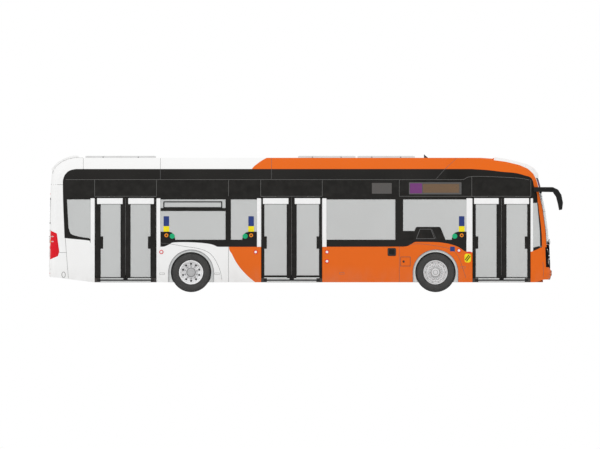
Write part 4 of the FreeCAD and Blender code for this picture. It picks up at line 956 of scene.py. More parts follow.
def leaf_trim(door, leaf):
    """White band, glazing bead, meeting rubber and foot strips of one leaf."""
    name = f"{door}_door_{leaf}"
    body = f"{name}_leaf"
    low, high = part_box(f"{name}_glass")
    u0, u1 = low[0] - REAR, high[0] - REAR
    z0, z1 = low[2], high[2] + 0.022
    leaf_low, leaf_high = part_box(body)
    jamb, width = DOORS[door]
    way = 1 if leaf == "aft" else -1
    meet = jamb + width / 2

    trim = Batch(white_trim)
    trim.slab(oblong(*LEAF_BANDS[name], BAND_LOW, BAND_HIGH, 0.006), kerb, 0.003, back=-0.002)
    trim.use(rubber)
    trim.rim(oblong(u0 - 0.014, u1 + 0.014, z0 - 0.014, z1 + 0.002, 0.02), 0.020, kerb, 0.0022,
             back=PANE_BED, chamfer=0.001)
    edge = meet - way * 0.016
    trim.tube([kerb(edge, v, -0.014) for v in (leaf_low[2] + 0.01, leaf_high[2] - 0.01)], 0.013, 12)
    trim.use(seam_grey)
    rail_y, rail_z = -HALF + 0.02, leaf_low[2] + 0.012
    trim.bar((u0, u1), (rail_y - 0.004, rail_y + 0.004), (rail_z - 0.008, rail_z), 0.001)
    trim.use(trim_grey).slab(oblong(u0, u1, leaf_low[2] + 0.001, leaf_low[2] + 0.019), kerb, 0.001,
                             back=-0.001, chamfer=0.0004)
    trim.use(seam_grey)
    if leaf == "aft":
        trim.strip([(meet - 0.003, 0.42), (meet - 0.003, 2.27)], 0.005, kerb, 0.0008, step=2.0)
    trim.finish(f"{name}_trim", body, slot="door_frame")


def leaf_handrail(door, leaf):
    """Bar on the inner face of one leaf, on the side where the leaves meet."""
    name = f"{door}_door_{leaf}"
    low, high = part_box(f"{name}_glass")
    way = 1 if leaf == "aft" else -1
    inner = -HALF + LEAF_DEPTH
    x = (low[0] + high[0]) / 2 + way * 0.16
    y = inner + 0.028
    grip = Batch(pole_paint)
    bend = [(inner - 0.004, GRIP_FOOT), (y - 0.004, GRIP_FOOT + 0.015), (y, 0.91), (y, 1.30),
            (y, 1.69), (y - 0.004, GRIP_TOP - 0.015), (inner - 0.004, GRIP_TOP)]
    grip.tube(smooth_line([(x, across, z) for across, z in bend], 0.02), 0.014, 12)
    for z in (GRIP_FOOT, GRIP_TOP):
        grip.lathe([(0.024, -0.002), (0.024, 0.004), (0.016, 0.007)], (x, inner - 0.001, z),
                   (0, 1, 0), 20)
    grip.finish(f"{name}_handrail", f"{name}_leaf", slot="pole_steel")


for door, leaf in itertools.product(DOORS, ("aft", "fore")):
    leaf_trim(door, leaf)
    leaf_handrail(door, leaf)

# Step edges below the doors: a pale strip, a dark ribbed tread and a cover in the middle.
for door, (jamb, width) in DOORS.items():
    far, meet = jamb + width, jamb + width / 2
    edge = Batch(trim_grey)
    edge.slab(oblong(jamb + 0.14, far - 0.14, 0.2465, 0.334), kerb, 0.0012, back=-0.004)
    edge.use(plastic_black)
    edge.slab(oblong(jamb + 0.06, far - 0.06, 0.2715, 0.3085), kerb, 0.002, back=-0.004)
    edge.slab(oblong(meet - 0.055, meet + 0.055, 0.300, 0.334), kerb, 0.002, back=-0.004)
    for k in range(4):
        v = 0.278 + 0.008 * k
        edge.strip([(jamb + 0.07, v), (far - 0.07, v)], 0.003, kerb, 0.0028, 0.0015, 0.6)
    edge.finish(f"{door}_door_step_edge", slot="door_frame")


# ---------------------------------------------------------------- tyres
TYRE_HALF, BEAD_R = 0.138, 0.2863
SIDE_SPREAD, SIDE_R = 0.138, 0.382          # widest point of the sidewall
SHOULDER_HALF, SHOULDER_R = 0.116, 0.466
RIBS = [(-0.098, -0.064), (-0.054, -0.025), (-0.015, 0.015), (0.025, 0.054), (0.064, 0.098)]
GROOVE, SLOT, SIPE = 0.013, 0.010, 0.002    # depths: round the tyre, between blocks, in ribs
BLOCKS = 56
BLOCK_STEPS = [0.0, 0.70, 0.75, 0.95]       # block from the first to the second, then its gap


def arc_through(a, b, c, count):
    """Points on the circle through three points, from a to c."""
    a, b, c = Vector(a), Vector(b), Vector(c)
    d = 2 * (a.x * (b.y - c.y) + b.x * (c.y - a.y) + c.x * (a.y - b.y))
    ux = (a.length_squared * (b.y - c.y) + b.length_squared * (c.y - a.y)
          + c.length_squared * (a.y - b.y)) / d
    uy = (a.length_squared * (c.x - b.x) + b.length_squared * (a.x - c.x)
          + c.length_squared * (b.x - a.x)) / d
    start, end = (math.atan2(p.y - uy, p.x - ux) for p in (a, c))
    radius = math.hypot(a.x - ux, a.y - uy)
    return [(ux + radius * math.cos(start + (end - start) * k / count),
             uy + radius * math.sin(start + (end - start) * k / count)) for k in range(count + 1)]


def tyre_rows():
    """(across, radius, depth of the gap between blocks there, zigzag) from bead to bead."""
    side = arc_through((TYRE_HALF - 0.034, BEAD_R), (SIDE_SPREAD, SIDE_R),
                       (SHOULDER_HALF, SHOULDER_R), 14)
    raised = {2: 0.0016, 3: 0.0016, 5: 0.0008, 10: 0.0012}
    outer = [(y + raised.get(i, 0.0), r, 0.0 if i < 13 else 0.004 * (i - 12), 0.0)
             for i, (y, r) in enumerate(side)]
    tread = []
    for i, (near, far) in enumerate(RIBS):
        gap = SLOT if i in (0, 4) else SIPE
        if i:
            tread += [(near - 0.001, TYRE_R - GROOVE, 0.0, 0.0018), (near, TYRE_R, gap, 0.0018)]
        else:
            tread.append((near, TYRE_R, gap, 0.0))
        if i < 4:
            tread += [(far, TYRE_R, gap, 0.0018), (far + 0.001, TYRE_R - GROOVE, 0.0, 0.0018)]
        else:
            tread.append((far, TYRE_R, gap, 0.0))
    mirror = [(-y, r, gap, 0.0) for y, r, gap, _ in outer]
    return mirror + tread + outer[::-1]


def tyre(batch, centre):
    rows = tyre_rows()
    columns = []
    for block in range(BLOCKS):
        for k, step in enumerate(BLOCK_STEPS):
            angle = 2 * math.pi * (block + step) / BLOCKS
            line = []
            for y, r, gap, zigzag in rows:
                depth = gap if k > 1 else 0.0
                shift = zigzag * (1 if k > 1 else -1)
                line.append(centre + Vector(((r - depth) * math.sin(angle), y + shift,
                                             (r - depth) * math.cos(angle))))
            columns.append(line)
    batch.loft(columns, around=True)


TWIN_STEP = 0.306
WHEELS = [      # name, along, side, centres of its tyres across the bus
    ("front_right", AXLE_F, KERB, (WHEEL_Y,)),
    ("front_left", AXLE_F, DRIVER, (WHEEL_Y,)),
    ("rear_right", AXLE_R, KERB, (WHEEL_Y, WHEEL_Y - TWIN_STEP)),
    ("rear_left", AXLE_R, DRIVER, (WHEEL_Y, WHEEL_Y - TWIN_STEP)),
]
for name, along, side, centres in WHEELS:
    tread = Batch(tyre_rubber)
    for y in centres:
        tyre(tread, Vector((at(along), side * y, TYRE_R)))
    tread.finish(f"{name}_tyre_tread", f"{name}_wheel", slot="tyre", angle=30,
                 replaces=[f"{name}_tyre"])


# ---------------------------------------------------------------- wheels
def wheel_face(along, side):
    """Place on a wheel: distance round it at a radius of 1 m, radius, distance from the middle."""
    return lambda turn, r, w: Vector((at(along) + r * math.sin(turn), side * w,
                                      TYRE_R + r * math.cos(turn)))


def on_ring(along, radius, turn):
    """Point on a circle round the axle."""
    return (at(along) + radius * math.sin(turn), 0, TYRE_R + radius * math.cos(turn))


def flange(batch, centre, axis):
    """Rolled edge of the rim over the tyre's bead."""
    edge = [(BEAD_EDGE, -0.012), (0.264, -0.003), (0.268, 0.0), (0.276, 0.004), (0.285, 0.006),
            (0.291, 0.003), (0.293, -0.003), (0.290, -0.008)]
    batch.lathe([(r, RIM_FACE + w) for r, w in edge], centre, axis, 72, around=True)


def shrunk(outline, share):
    """An outline moved towards its middle by a share of its size."""
    mu = sum(u for u, _ in outline) / len(outline)
    mv = sum(v for _, v in outline) / len(outline)
    return [(u + (mu - u) * share, v + (mv - v) * share) for u, v in outline]


# All depths of the wheels' faces are distances from the bus's middle.
RIM_FACE, BOLTS = 1.2150, 10
# Grey rings on a front cover: radius, half width, how far out.
COVER_RINGS = [(0.0520, 0.0055, 1.2174), (0.1045, 0.0050, 1.2134), (0.2275, 0.0035, 1.2026),
               (0.2625, 0.0042, 1.2104)]
COVER_DISH = [(0.268, 1.200), (0.266, 1.2075), (0.262, 1.2095), (0.257, 1.2080), (0.240, 1.2030),
              (0.215, 1.2010), (0.132, 1.2005), (0.114, 1.2030), (0.108, 1.2090), (0.101, 1.2130),
              (0.092, 1.2145), (0.064, 1.2160), (0.061, 1.2140), (0.056, 1.2140), (0.053, 1.2165),
              (0.047, 1.2185), (0.030, 1.2200), (0.010, 1.2205), (0.0, 1.2205)]
CAP_RING, HAND_HOLE_R, SPOKE_R = 0.160, 0.249, 0.19
BOLT_CAP = [(0.024, 1.2000), (0.024, 1.2040), (0.021, 1.2065), (0.018, 1.2130), (0.013, 1.2165),
            (0.0, 1.2175)]
CAP_EDGE = [(0.030, 1.2010), (0.030, 1.2026), (0.0295, 1.2030), (0.024, 1.2030), (0.024, 1.2012)]
HAND_HOLE_BASE = 1.2030
HAND_HOLE_EDGE = [(0, HAND_HOLE_BASE), (0, 1.2085), (0.12, 1.2090), (0.22, 1.2082),
                  (0.24, HAND_HOLE_BASE)]       # share that the outline shrinks by, depth


def front_cover(name, along, side):
    """Dished cover of a front wheel: grey rings, hand holes with painted shade in them, bolt caps and
    thin spokes.
    """
    centre, axis = (at(along), 0, TYRE_R), (0, side, 0)
    place = wheel_face(along, side)
    cover = Batch(wheel_front)
    flange(cover, centre, axis)
    cover.lathe(COVER_DISH, centre, axis, 80)
    cover.use(seam_grey)
    for r, half, face in COVER_RINGS:
        cover.lathe([(r - half, face - 0.004), (r - half, face), (r + half, face),
                     (r + half, face - 0.004)], centre, axis, 72, around=True)
    for turn in turns(BOLTS, math.pi / 2):
        hole = [(turn + u / HAND_HOLE_R, v) for u, v in
                rounded(oblong(-0.031, 0.031, 0.2400, 0.2590), 0.009, 5)]
        cover.use(wheel_front).stack([(shrunk(hole, share), w) for share, w in HAND_HOLE_EDGE], place,
                                     around=True)
        # Painted shade: a dark plate in each hand hole stands for the shade inside the opening.
        cover.use(seam_dark).stack([(shrunk(hole, 0.22), w) for w in (HAND_HOLE_BASE, 1.2062)], place)
        cap = on_ring(along, CAP_RING, turn)
        cover.use(wheel_front).lathe(BOLT_CAP, cap, axis, 18)
        cover.use(seam_dark).lathe(CAP_EDGE, cap, axis, 24, around=True)
        spoke = turn + math.pi / BOLTS
        bar = [(spoke + u / SPOKE_R, v) for u, v in oblong(-0.0022, 0.0022, 0.124, 0.222)]
        cover.stack([(bar, w) for w in (1.1995, 1.2022)], place)
    cover.lathe([(0.122, 1.2010), (0.122, 1.2026), (0.118, 1.2034), (0.118, 1.2010)], centre, axis,
                72, around=True)
    cover.finish(f"{name}_wheel_cover", f"{name}_wheel", slot="wheel_paint", angle=35)


# Slope from the rear rim's barrel down to its disc, the turned ring beside it and the hub cap.
REAR_SLOPE = [(0.270, 1.120), (0.262, 1.090), (0.251, 1.0610), (0.247, 1.0550), (0.243, 1.0545),
              (0.251, 1.0520), (0.272, 1.075), (0.274, 1.120)]
HUB_CAP = [(0.118, 1.1495), (0.118, 1.1560), (0.114, 1.1600), (0.109, 1.1600), (0.108, 1.1540),
           (0.098, 1.1540), (0.097, 1.1600), (0.092, 1.1625), (0.060, 1.1645), (0.058, 1.1625),
           (0.054, 1.1625), (0.052, 1.1648), (0.020, 1.1660), (0.0, 1.1660)]
HUB_GROOVE = [(0.1075, 1.1535), (0.1075, 1.1550), (0.0985, 1.1550), (0.0985, 1.1535)]
HOLE_RING, NUT_RING = 0.205, 0.150
HOLE_EDGE = [(0.0245, 1.052), (0.0245, 1.0565), (0.027, 1.058), (0.031, 1.0565), (0.032, 1.0535)]
WHEEL_NUT = [(0.0235, 1.0540), (0.0235, 1.0565), (0.019, 1.0590), (0.0178, 1.0590),
             (0.0178, 1.080), (0.0150, 1.0830), (0.0, 1.0830)]


def rear_trim(name, along, side):
    """Hub cap, hand hole edges and nuts of a rear wheel."""
    centre, axis = (at(along), 0, TYRE_R), (0, side, 0)
    trim = Batch(wheel_rear)
    flange(trim, centre, axis)
    trim.lathe(REAR_SLOPE, centre, axis, 72, around=True)
    trim.use(hub_grey).lathe(HUB_CAP, centre, axis, 64)
    trim.use(seam_dark).lathe(HUB_GROOVE, centre, axis, 64, around=True)
    for turn in turns(BOLTS):
        hole, nut = on_ring(along, HOLE_RING, turn), on_ring(along, NUT_RING, turn)
        trim.use(wheel_rear).lathe(HOLE_EDGE, hole, axis, 24, around=True)
        trim.use(steel_dull).lathe(WHEEL_NUT, nut, axis, 6)
    trim.finish(f"{name}_wheel_trim", f"{name}_wheel", slot="wheel_paint", angle=35)


for name, along, side, _ in WHEELS:
    (front_cover if name.startswith("front") else rear_trim)(name, along, side)

# ---------------------------------------------------------------- wheel arches
ARCH_OUT, ARCH_IN, ARCH_FOOT = 0.547, 0.490, 0.246


def arch_line(radius, foot, count=40):
    """From the foot up, over the wheel and down again: (along from the axle, height)."""
    bow = [(-radius * math.cos(math.pi * k / count), TYRE_R + radius * math.sin(math.pi * k / count))
           for k in range(count + 1)]
    return [(-radius, foot)] + bow + [(radius, foot)]


def close_line(radius, foot, count=42):
    """A circle round the wheel, from where it meets the foot's height on either side."""
    start = -math.asin((TYRE_R - foot) / radius)
    span = math.pi - 2 * start
    return [(-radius * math.cos(start + span * k / count),
             TYRE_R + radius * math.sin(start + span * k / count)) for k in range(count + 1)]


def arch_lip(batch, along, place):
    """Pale flap between the arch's edge and the tyre, and the rubber edge of the arch."""
    outer, inner = arch_line(ARCH_OUT, ARCH_FOOT), close_line(ARCH_IN, ARCH_FOOT)
    loops = []
    for (u0, v0), (u1, v1) in zip(outer, inner):
        loops.append([place(along + u0, v0, -0.034), place(along + u0, v0, -0.028),
                      place(along + u1, v1, -0.024), place(along + u1, v1, -0.034)])
    batch.use(trim_grey).loft(loops)
    bead = []
    for (u0, v0), (u1, v1) in zip(arch_line(ARCH_OUT + 0.003, ARCH_FOOT),
                                  arch_line(ARCH_OUT - 0.004, ARCH_FOOT)):
        bead.append([place(along + u0, v0, 0.0), place(along + u0, v0, 0.0035),
                     place(along + u1, v1, 0.0035), place(along + u1, v1, -0.030)])
    batch.use(plastic_grey).loft(bead)


for side, place, label in ((KERB, kerb, "kerb"), (DRIVER, driver, "driver")):
    lips = Batch(liner)
    arch_lip(lips, AXLE_R, place)
    arch_lip(lips, AXLE_F, place)
    lips.finish(f"{label}_arch_lips", slot="housing_plastic", angle=30)


# ---------------------------------------------------------------- roof equipment
ROOF_UNITS = [      # from, to, top over the roof edge, number of fans
    (0.880, 2.583, 0.042, 3), (6.011, 7.400, 0.042, 2), (7.446, 8.835, 0.042, 2),
    (2.643, 3.706, -0.048, 0), (3.766, 4.828, -0.048, 0), (4.888, 5.951, -0.048, 0),
    (8.895, 9.540, -0.048, 0),
]
CROWN_HALF, UNIT_SIDE, UNIT_DROP = 0.809, 0.919, 0.090
FAN_R, BLADES = 0.230, 7
UP = (0, 0, 1)
ROOF_BOLT = [(0.011, -0.001), (0.011, 0.002), (0.008, 0.004), (0.0, 0.0045)]
SIDE_LOCK = [(0.016, -0.002), (0.016, 0.003), (0.010, 0.006), (0.0, 0.006)]


def deck(z):
    """Place on a level face: along the bus, across it, height over z."""
    return lambda u, v, w: Vector((at(u), v, z + w))


def fan(batch, along, top):
    """A fan in its well: flange, blades and guard rings."""
    centre = (at(along), 0, 0)
    batch.use(plastic_grey)
    batch.lathe([(FAN_R + 0.028, top - 0.001), (FAN_R + 0.028, top + 0.001),
                 (FAN_R + 0.004, top + 0.002), (FAN_R - 0.004, top - 0.002),
                 (FAN_R - 0.004, top - 0.030)], centre, UP, 40, around=True)
    batch.use(plastic_black)
    lift = Vector((0, 0, 0.0015))
    for turn in turns(BLADES):
        outward = Vector((math.cos(turn), math.sin(turn), 0))
        side = Vector((-math.sin(turn), math.cos(turn), 0))
        loops = []
        for r, wide, twist in ((0.066, 0.05, 0.8), (0.13, 0.075, 0.55), (0.205, 0.09, 0.35)):
            mid = Vector((at(along), 0, top - 0.022)) + outward * r
            chord = (side * math.cos(twist) + Vector((0, 0, math.sin(twist) * 0.25))) * wide
            loops.append([mid - chord - lift, mid + chord - lift, mid + chord + lift,
                          mid - chord + lift])
        batch.loft(loops)
    batch.use(steel_dull)
    for r in (0.075, 0.115, 0.155, 0.195):
        batch.tube([(at(along) + r * math.cos(a), r * math.sin(a), top - 0.003)
                    for a in turns(36) + [2 * math.pi]], 0.0022, 5)
    for k in range(6):
        x, y = (0.226 * way(math.pi * k / 6) for way in (math.cos, math.sin))
        batch.tube([(at(along) - x, -y, top - 0.005), (at(along) + x, y, top - 0.005)], 0.003, 6)


roof_trim = Batch(plastic_grey)
for u0, u1, above, fans in ROOF_UNITS:
    top = ROOF_Z + above
    level = deck(top)
    roof_trim.use(seam_grey)
    roof_trim.rim(oblong(u0 + 0.03, u1 - 0.03, -CROWN_HALF + 0.02, CROWN_HALF - 0.02, 0.03), 0.008,
                  level, 0.0015, back=-0.002, chamfer=0.0005)
    for i in range(fans):
        fan(roof_trim, u0 + (u1 - u0) * (i + 0.5) / fans, top)
    roof_trim.use(steel_dull)
    for v in (-CROWN_HALF + 0.045, CROWN_HALF - 0.045):
        for k in range(5):
            u = u0 + 0.06 + (u1 - u0 - 0.12) * k / 4
            roof_trim.lathe(ROOF_BOLT, (at(u), v, top), UP, 10)
    if not fans:
        roof_trim.use(roof_paint)
        for k in range(5):
            v = -0.5 + 0.25 * k
            roof_trim.slab(oblong(u0 + 0.10, u1 - 0.10, v - 0.03, v + 0.03, 0.02), level, 0.006,
                           back=-0.002, chamfer=0.003)
    roof_trim.use(plastic_grey)
    for side, share, w in itertools.product((-1, 1), (0.25, 0.75), (0.3, 0.7)):
        out = Vector((0, side * UNIT_DROP, UNIT_SIDE - CROWN_HALF)).normalized()
        across = side * (UNIT_SIDE + (CROWN_HALF - UNIT_SIDE) * w)
        lock = (at(u0 + (u1 - u0) * share), across, top - UNIT_DROP * (1 - w))
        roof_trim.lathe(SIDE_LOCK, lock, out, 12)
roof_trim.finish("roof_unit_trim", slot="paint_roof")

# Cable ducts along both sides of the roof equipment.
DUCT_Y, DUCT_Z, CLIPS, CLIP_FROM, CLIP_STEP = 0.99, 2.78, 12, 1.2, 0.72
ducts = Batch(plastic_black)
for side in (-1, 1):
    for y, r in ((DUCT_Y - 0.025, 0.022), (DUCT_Y + 0.025, 0.016)):
        ducts.use(plastic_black).tube([(at(u), side * y, DUCT_Z) for u in (0.95, 9.5)], r, 10)
    for k in range(CLIPS):
        u, y = CLIP_FROM + CLIP_STEP * k, side * DUCT_Y
        ducts.use(steel_dull).bar((u - 0.012, u + 0.012), (y - 0.055, y + 0.055),
                                  (DUCT_Z - 0.023, DUCT_Z - 0.015))
ducts.finish("roof_cable_ducts", slot="plastic_black")


# ---------------------------------------------------------------- front
def lamp_unit(batch, place, u, v, radius, lens, bezel):
    """A round lamp: a bright ring with a domed lens in it."""
    middle = place(u, v, 0.0)
    axis = (place(u, v, 0.1) - middle).normalized()
    ring = [(1.0, -0.004), (1.0, 0.002), (0.95, 0.0035), (0.88, 0.003), (0.84, -0.001)]
    dome = [(0.86, -0.004), (0.85, 0.0005), (0.7, 0.0016), (0.4, 0.0026), (0.0, 0.003)]
    batch.use(bezel).lathe([(radius * r, w) for r, w in ring], middle, axis, 28, around=True)
    batch.use(lens).lathe([(radius * r, w) for r, w in dome], middle, axis, 28)


def across_front(batch, half, z, width, out, back=-0.002, step=0.08):
    batch.strip([(-half, z), (half, z)], width, on_front, out, back, step)


GRILLE_EDGE = [(0.575, 0.76), (0.60, 0.76), (0.70, 0.64), (0.86, 0.70), (1.06, 1.0), (1.09, 1.12),
               (1.145, 1.13)]       # height, half width
GRILLE_LOW, GRILLE_STEP, GRILLE_BARS = 0.580, 0.0281, 20


def grille_half(z):
    for (z0, y0), (z1, y1) in zip(GRILLE_EDGE, GRILLE_EDGE[1:]):
        if z <= z1:
            return y0 + (y1 - y0) * (z - z0) / (z1 - z0)
    return GRILLE_EDGE[-1][1]


front_panel = Batch(grille_black)
for side in (-1, 1):
    edge = [(side * y, z) for z, y in GRILLE_EDGE[1:]]
    front_panel.strip(edge, 0.058, on_front, 0.0024, -0.002, 0.03)
for k in range(GRILLE_BARS):
    z = GRILLE_LOW + GRILLE_STEP * (k + 0.5)
    across_front(front_panel, grille_half(z) + 0.03, z, GRILLE_STEP + 0.0005, 0.0022)
for k in range(9):
    across_front(front_panel.use(plastic_black), 0.48, 0.640 + 0.018 * k, 0.007, 0.007, 0.001)
for z in (0.80, 0.885):
    across_front(front_panel.use(steel), 0.90, z, 0.020, 0.009, 0.001)
front_panel.finish("front_grille", slot="plastic_black")

HEAD_LAMPS = [      # across, height, radius, lens
    (0.80, 0.715, 0.062, lens_deep), (0.945, 0.725, 0.062, lens_deep),
    (1.075, 0.745, 0.045, lens_amber), (0.87, 0.452, 0.043, lens_clear),
]
LIGHT_LINE = [(0.735, 0.835), (0.86, 0.93), (1.02, 1.015), (1.13, 1.035)]
BUMPER_STUD = [(0.014, -0.002), (0.014, 0.0015), (0.010, 0.002), (0.0, 0.002)]
MARKER_LAMP = [(0.022, -0.004), (0.022, 0.008), (0.014, 0.016), (0.0, 0.017)]
front_lamps = Batch(steel)
for side in (-1, 1):
    for y, z, radius, lens in HEAD_LAMPS:
        lamp_unit(front_lamps, on_front, side * y, z, radius, lens, plastic_black)
    front_lamps.use(lens_clear).strip(smooth_line([(side * y, z) for y, z in LIGHT_LINE]), 0.016,
                                      on_front, 0.0016, -0.001, 0.03)
    front_lamps.use(plastic_black)
    for y in (0.36, 0.66):
        front_lamps.lathe(BUMPER_STUD, on_front(side * y, 0.528, 0.0), (1, 0, 0), 16)
    for y, z in ((0.99, 2.311), (0.70, 2.745)):
        front_lamps.lathe(MARKER_LAMP, on_front(side * y, z, -0.002), (1, 0, 0.1), 14)
front_lamps.finish("front_lamp_units", slot="lamp_clear")

TOW_COVER, PLATE_HALF = 0.62, 0.270     # middle of a square cover, half the number plate
front_trim = Batch(seam_dark)
across_front(front_trim, 1.14, 0.563, 0.006, 0.001, step=0.04)
for side in (-1, 1):
    front_trim.strip([(side * 0.985, 0.56), (side * 0.985, 0.345)], 0.006, on_front, 0.001)
    cover = side * TOW_COVER
    front_trim.rim(oblong(cover - 0.045, cover + 0.045, 0.415, 0.505, 0.012), 0.005, on_front, 0.001,
                   chamfer=0.0004)
front_trim.use(plastic_black)
across_front(front_trim, 0.50, 0.365, 0.055, 0.002)
across_front(front_trim, 1.02, 0.318, 0.022, 0.002)
for k in range(3):
    across_front(front_trim.use(plastic_grey), 0.48, 0.350 + 0.015 * k, 0.004, 0.004, 0.001)
front_trim.use(plastic_black)
front_trim.bar((12.115, 12.133), (-PLATE_HALF, PLATE_HALF), (0.398, 0.522), 0.003)
front_trim.use(white_trim)
front_trim.bar((12.130, 12.136), (-PLATE_HALF + 0.01, PLATE_HALF - 0.01), (0.407, 0.513), 0.0015)
front_trim.finish("front_bumper_trim", slot="plastic_black")

DISPLAY_ROWS = ((2.60, 0.088), (2.675, 0.066))      # height, width of a row of the front display
screen_trim = Batch(grille_black)
across_front(screen_trim, 1.125, 1.188, 0.070, 0.0015)
across_front(screen_trim, 1.10, 2.432, 0.070, 0.0015)
screen_trim.use(rubber)
for side in (-1, 1):
    screen_trim.strip([(side * 1.146, 1.155), (side * 1.146, 2.465)], 0.012, on_front, 0.0025)
screen_trim.use(seam_grey)
for z in (2.538, 2.722):
    across_front(screen_trim, 0.815, z, 0.008, 0.004)
for material, y0, y1 in ((display_amber, -0.48, 0.80), (display_purple, -0.80, -0.51)):
    for z, width in DISPLAY_ROWS:
        screen_trim.use(material).strip([(y0, z), (y1, z)], width, on_front, 0.002, step=0.08)
screen_trim.finish("windscreen_trim", slot="paint_black")

# Wipers parked along the foot of the windscreen.
WIPER_PIVOT = [(0.030, -0.006), (0.030, 0.014), (0.022, 0.024), (0.0, 0.026)]
WIPER_BOW = [(0.70, 1.165, 0.030), (0.52, 1.205, 0.030), (0.36, 1.232, 0.026)]
wipers = Batch(plastic_black)
for side in (-1, 1):
    pivot = on_front(side * 0.86, 1.118, 0.004)
    wipers.use(plastic_black).lathe(WIPER_PIVOT, pivot, (1, 0, 0), 20)
    bow = [pivot + Vector((0.016, 0, 0))] + [on_front(side * y, z, w) for y, z, w in WIPER_BOW]
    wipers.tube(smooth_line(bow, 0.05), 0.009, 8, flat=0.6)
    blade = [on_front(side * (0.80 - 0.07 * k), 1.205 + 0.006 * k, 0.012) for k in range(13)]
    wipers.tube(blade, 0.006, 6)
    wipers.use(rubber).tube([p - Vector((0.007, 0, 0)) for p in blade], 0.004, 5)
wipers.finish("windscreen_wipers", slot="plastic_black")

# ---------------------------------------------------------------- mirrors
MIRROR_FROM, MIRROR_TO = 1.235, 1.47
mirror_skin = skin_of("mirrors")


def mirror_back(side):
    """Places on the rear of a mirror's head: across, height, depth."""
    def place(u, v, w):
        point, normal = cast_on((at(11.9), side * u, v), (1, 0, 0), mirror_skin)
        return point + normal * w
    return place


mirror_faces = Batch(mirror_glass)
for side, (low, high) in itertools.product((-1, 1), ((2.175, 2.285), (2.035, 2.165))):
    place = mirror_back(side)
    mirror_faces.loft([[place(MIRROR_FROM, v, 0.0012), place(MIRROR_TO, v, 0.0012),
                        place(MIRROR_TO, v, -0.002), place(MIRROR_FROM, v, -0.002)]
                       for v in (low, (low + high) / 2, high)])
mirror_faces.finish("mirror_glasses")


# ---------------------------------------------------------------- rear
def across_rear(batch, half, z, width, out=0.0012, back=-0.001, step=0.05):
    batch.strip([(-half, z), (half, z)], width, on_rear, out, back, step)


REAR_LAMPS = ((1.343, lens_clear), (1.223, lens_amber), (1.085, lens_red))     # height, lens
rear_lamps = Batch(steel_dull)
for side, form in ((KERB, kerb_form), (DRIVER, driver_form)):
    for z, lens in REAR_LAMPS:
        lamp_unit(rear_lamps, on_rear, side * 1.165, z, 0.046, lens, red_trim)
    rear_lamps.use(lens_clear)
    for z, _ in REAR_LAMPS[:2]:
        rear_lamps.slab(oblong(0.060, 0.108, z - 0.012, z + 0.012, 0.008), form, 0.0025,
                        chamfer=0.001)
    rear_lamps.use(lens_red)
    rear_lamps.strip([(side * 0.94, 0.455), (side * 1.06, 0.455)], 0.034, on_rear, 0.005)
    rear_lamps.use(seam_dark)
    for z0, z1 in ((0.557, 0.557), (1.49, 1.50)):
        rear_lamps.strip([(side * 0.905, z0), (side * 1.20, z1)], 0.006, on_rear, 0.001, step=0.03)
across_rear(rear_lamps.use(lens_red), 0.20, 2.372, 0.034, 0.006)
across_rear(rear_lamps.use(plastic_black), 0.95, 0.385, 0.044, 0.003, step=0.1)
across_rear(rear_lamps.use(seam_dark), 1.02, 2.60, 0.006, 0.001)
rear_lamps.finish("rear_lamp_units", slot="lamp_red")

rear_glass = Batch(grille_black)
for z in (1.668, 2.252):
    across_rear(rear_glass, 0.955, z, 0.050, 0.0015, step=0.1)
for side in (-1, 1):
    rear_glass.strip([(side * 0.935, 1.66), (side * 0.935, 2.26)], 0.050, on_rear, 0.0015)
across_rear(rear_glass.use(display_grey), 0.30, 2.135, 0.150, step=0.1)
rear_glass.finish("rear_window_border", slot="paint_black")

# Louvres, number plate with its lamp, and the lock of the rear flap.
LID_STRIPS = [(plastic_black, 0.58, 0.855 + 0.026 * k, 0.014, 0.0006, -0.001, 0.1) for k in range(9)]
LID_STRIPS += [     # material, half, height, width, out, back, step
    (plastic_black, 0.275, 1.255, 0.130, 0.003, -0.001, 0.14),
    (white_trim, 0.26, 1.255, 0.110, 0.005, 0.001, 0.13),
    (plastic_black, 0.24, 1.345, 0.024, 0.008, -0.001, 0.12),
    (plastic_black, 0.09, 0.635, 0.040, 0.0006, -0.001, 0.05),
    (seam_dark, 0.075, 0.640, 0.018, 0.0009, -0.001, 0.05),
]
lid = Batch(seam_dark)
for material, *strip in LID_STRIPS:
    across_rear(lid.use(material), *strip)
lid.finish("rear_lid_trim", "rear_lid", slot="plastic_black")

# Joints between the rear hood and the dome beside it.
HOOD_EDGE, HOOD_CENTRE = 0.925, (0.85, 2.55)
dome_lines = Batch(seam_grey)
for side in (-1, 1):
    joint = []
    for k in range(25):
        turn = math.radians(158 - 66 * k / 24)
        way = Vector((math.cos(turn), 0, math.sin(turn)))
        middle = Vector((at(HOOD_CENTRE[0]), side * HOOD_EDGE, HOOD_CENTRE[1]))
        joint.append(cast_on(middle + way * 2.0, -way)[0])
    dome_lines.tube(joint, 0.0045, 6)
dome_lines.finish("rear_dome_seams", slot="paint_body")

# ---------------------------------------------------------------- driver side
cab_window = Batch(black_gloss)
cab_window.rim(oblong(10.305, 11.475, 1.085, 2.232, 0.03), 0.030, driver, 0.002, back=PANE_BED)
cab_window.slab(oblong(10.872, 10.900, 1.10, 2.22), driver, 0.003, back=PANE_BED)
cab_window.use(plastic_black)
cab_window.slab(oblong(10.905, 10.930, 1.60, 1.70, 0.008), driver, 0.008, back=-0.004)
cab_window.finish("cab_window_frame", slot="paint_black")

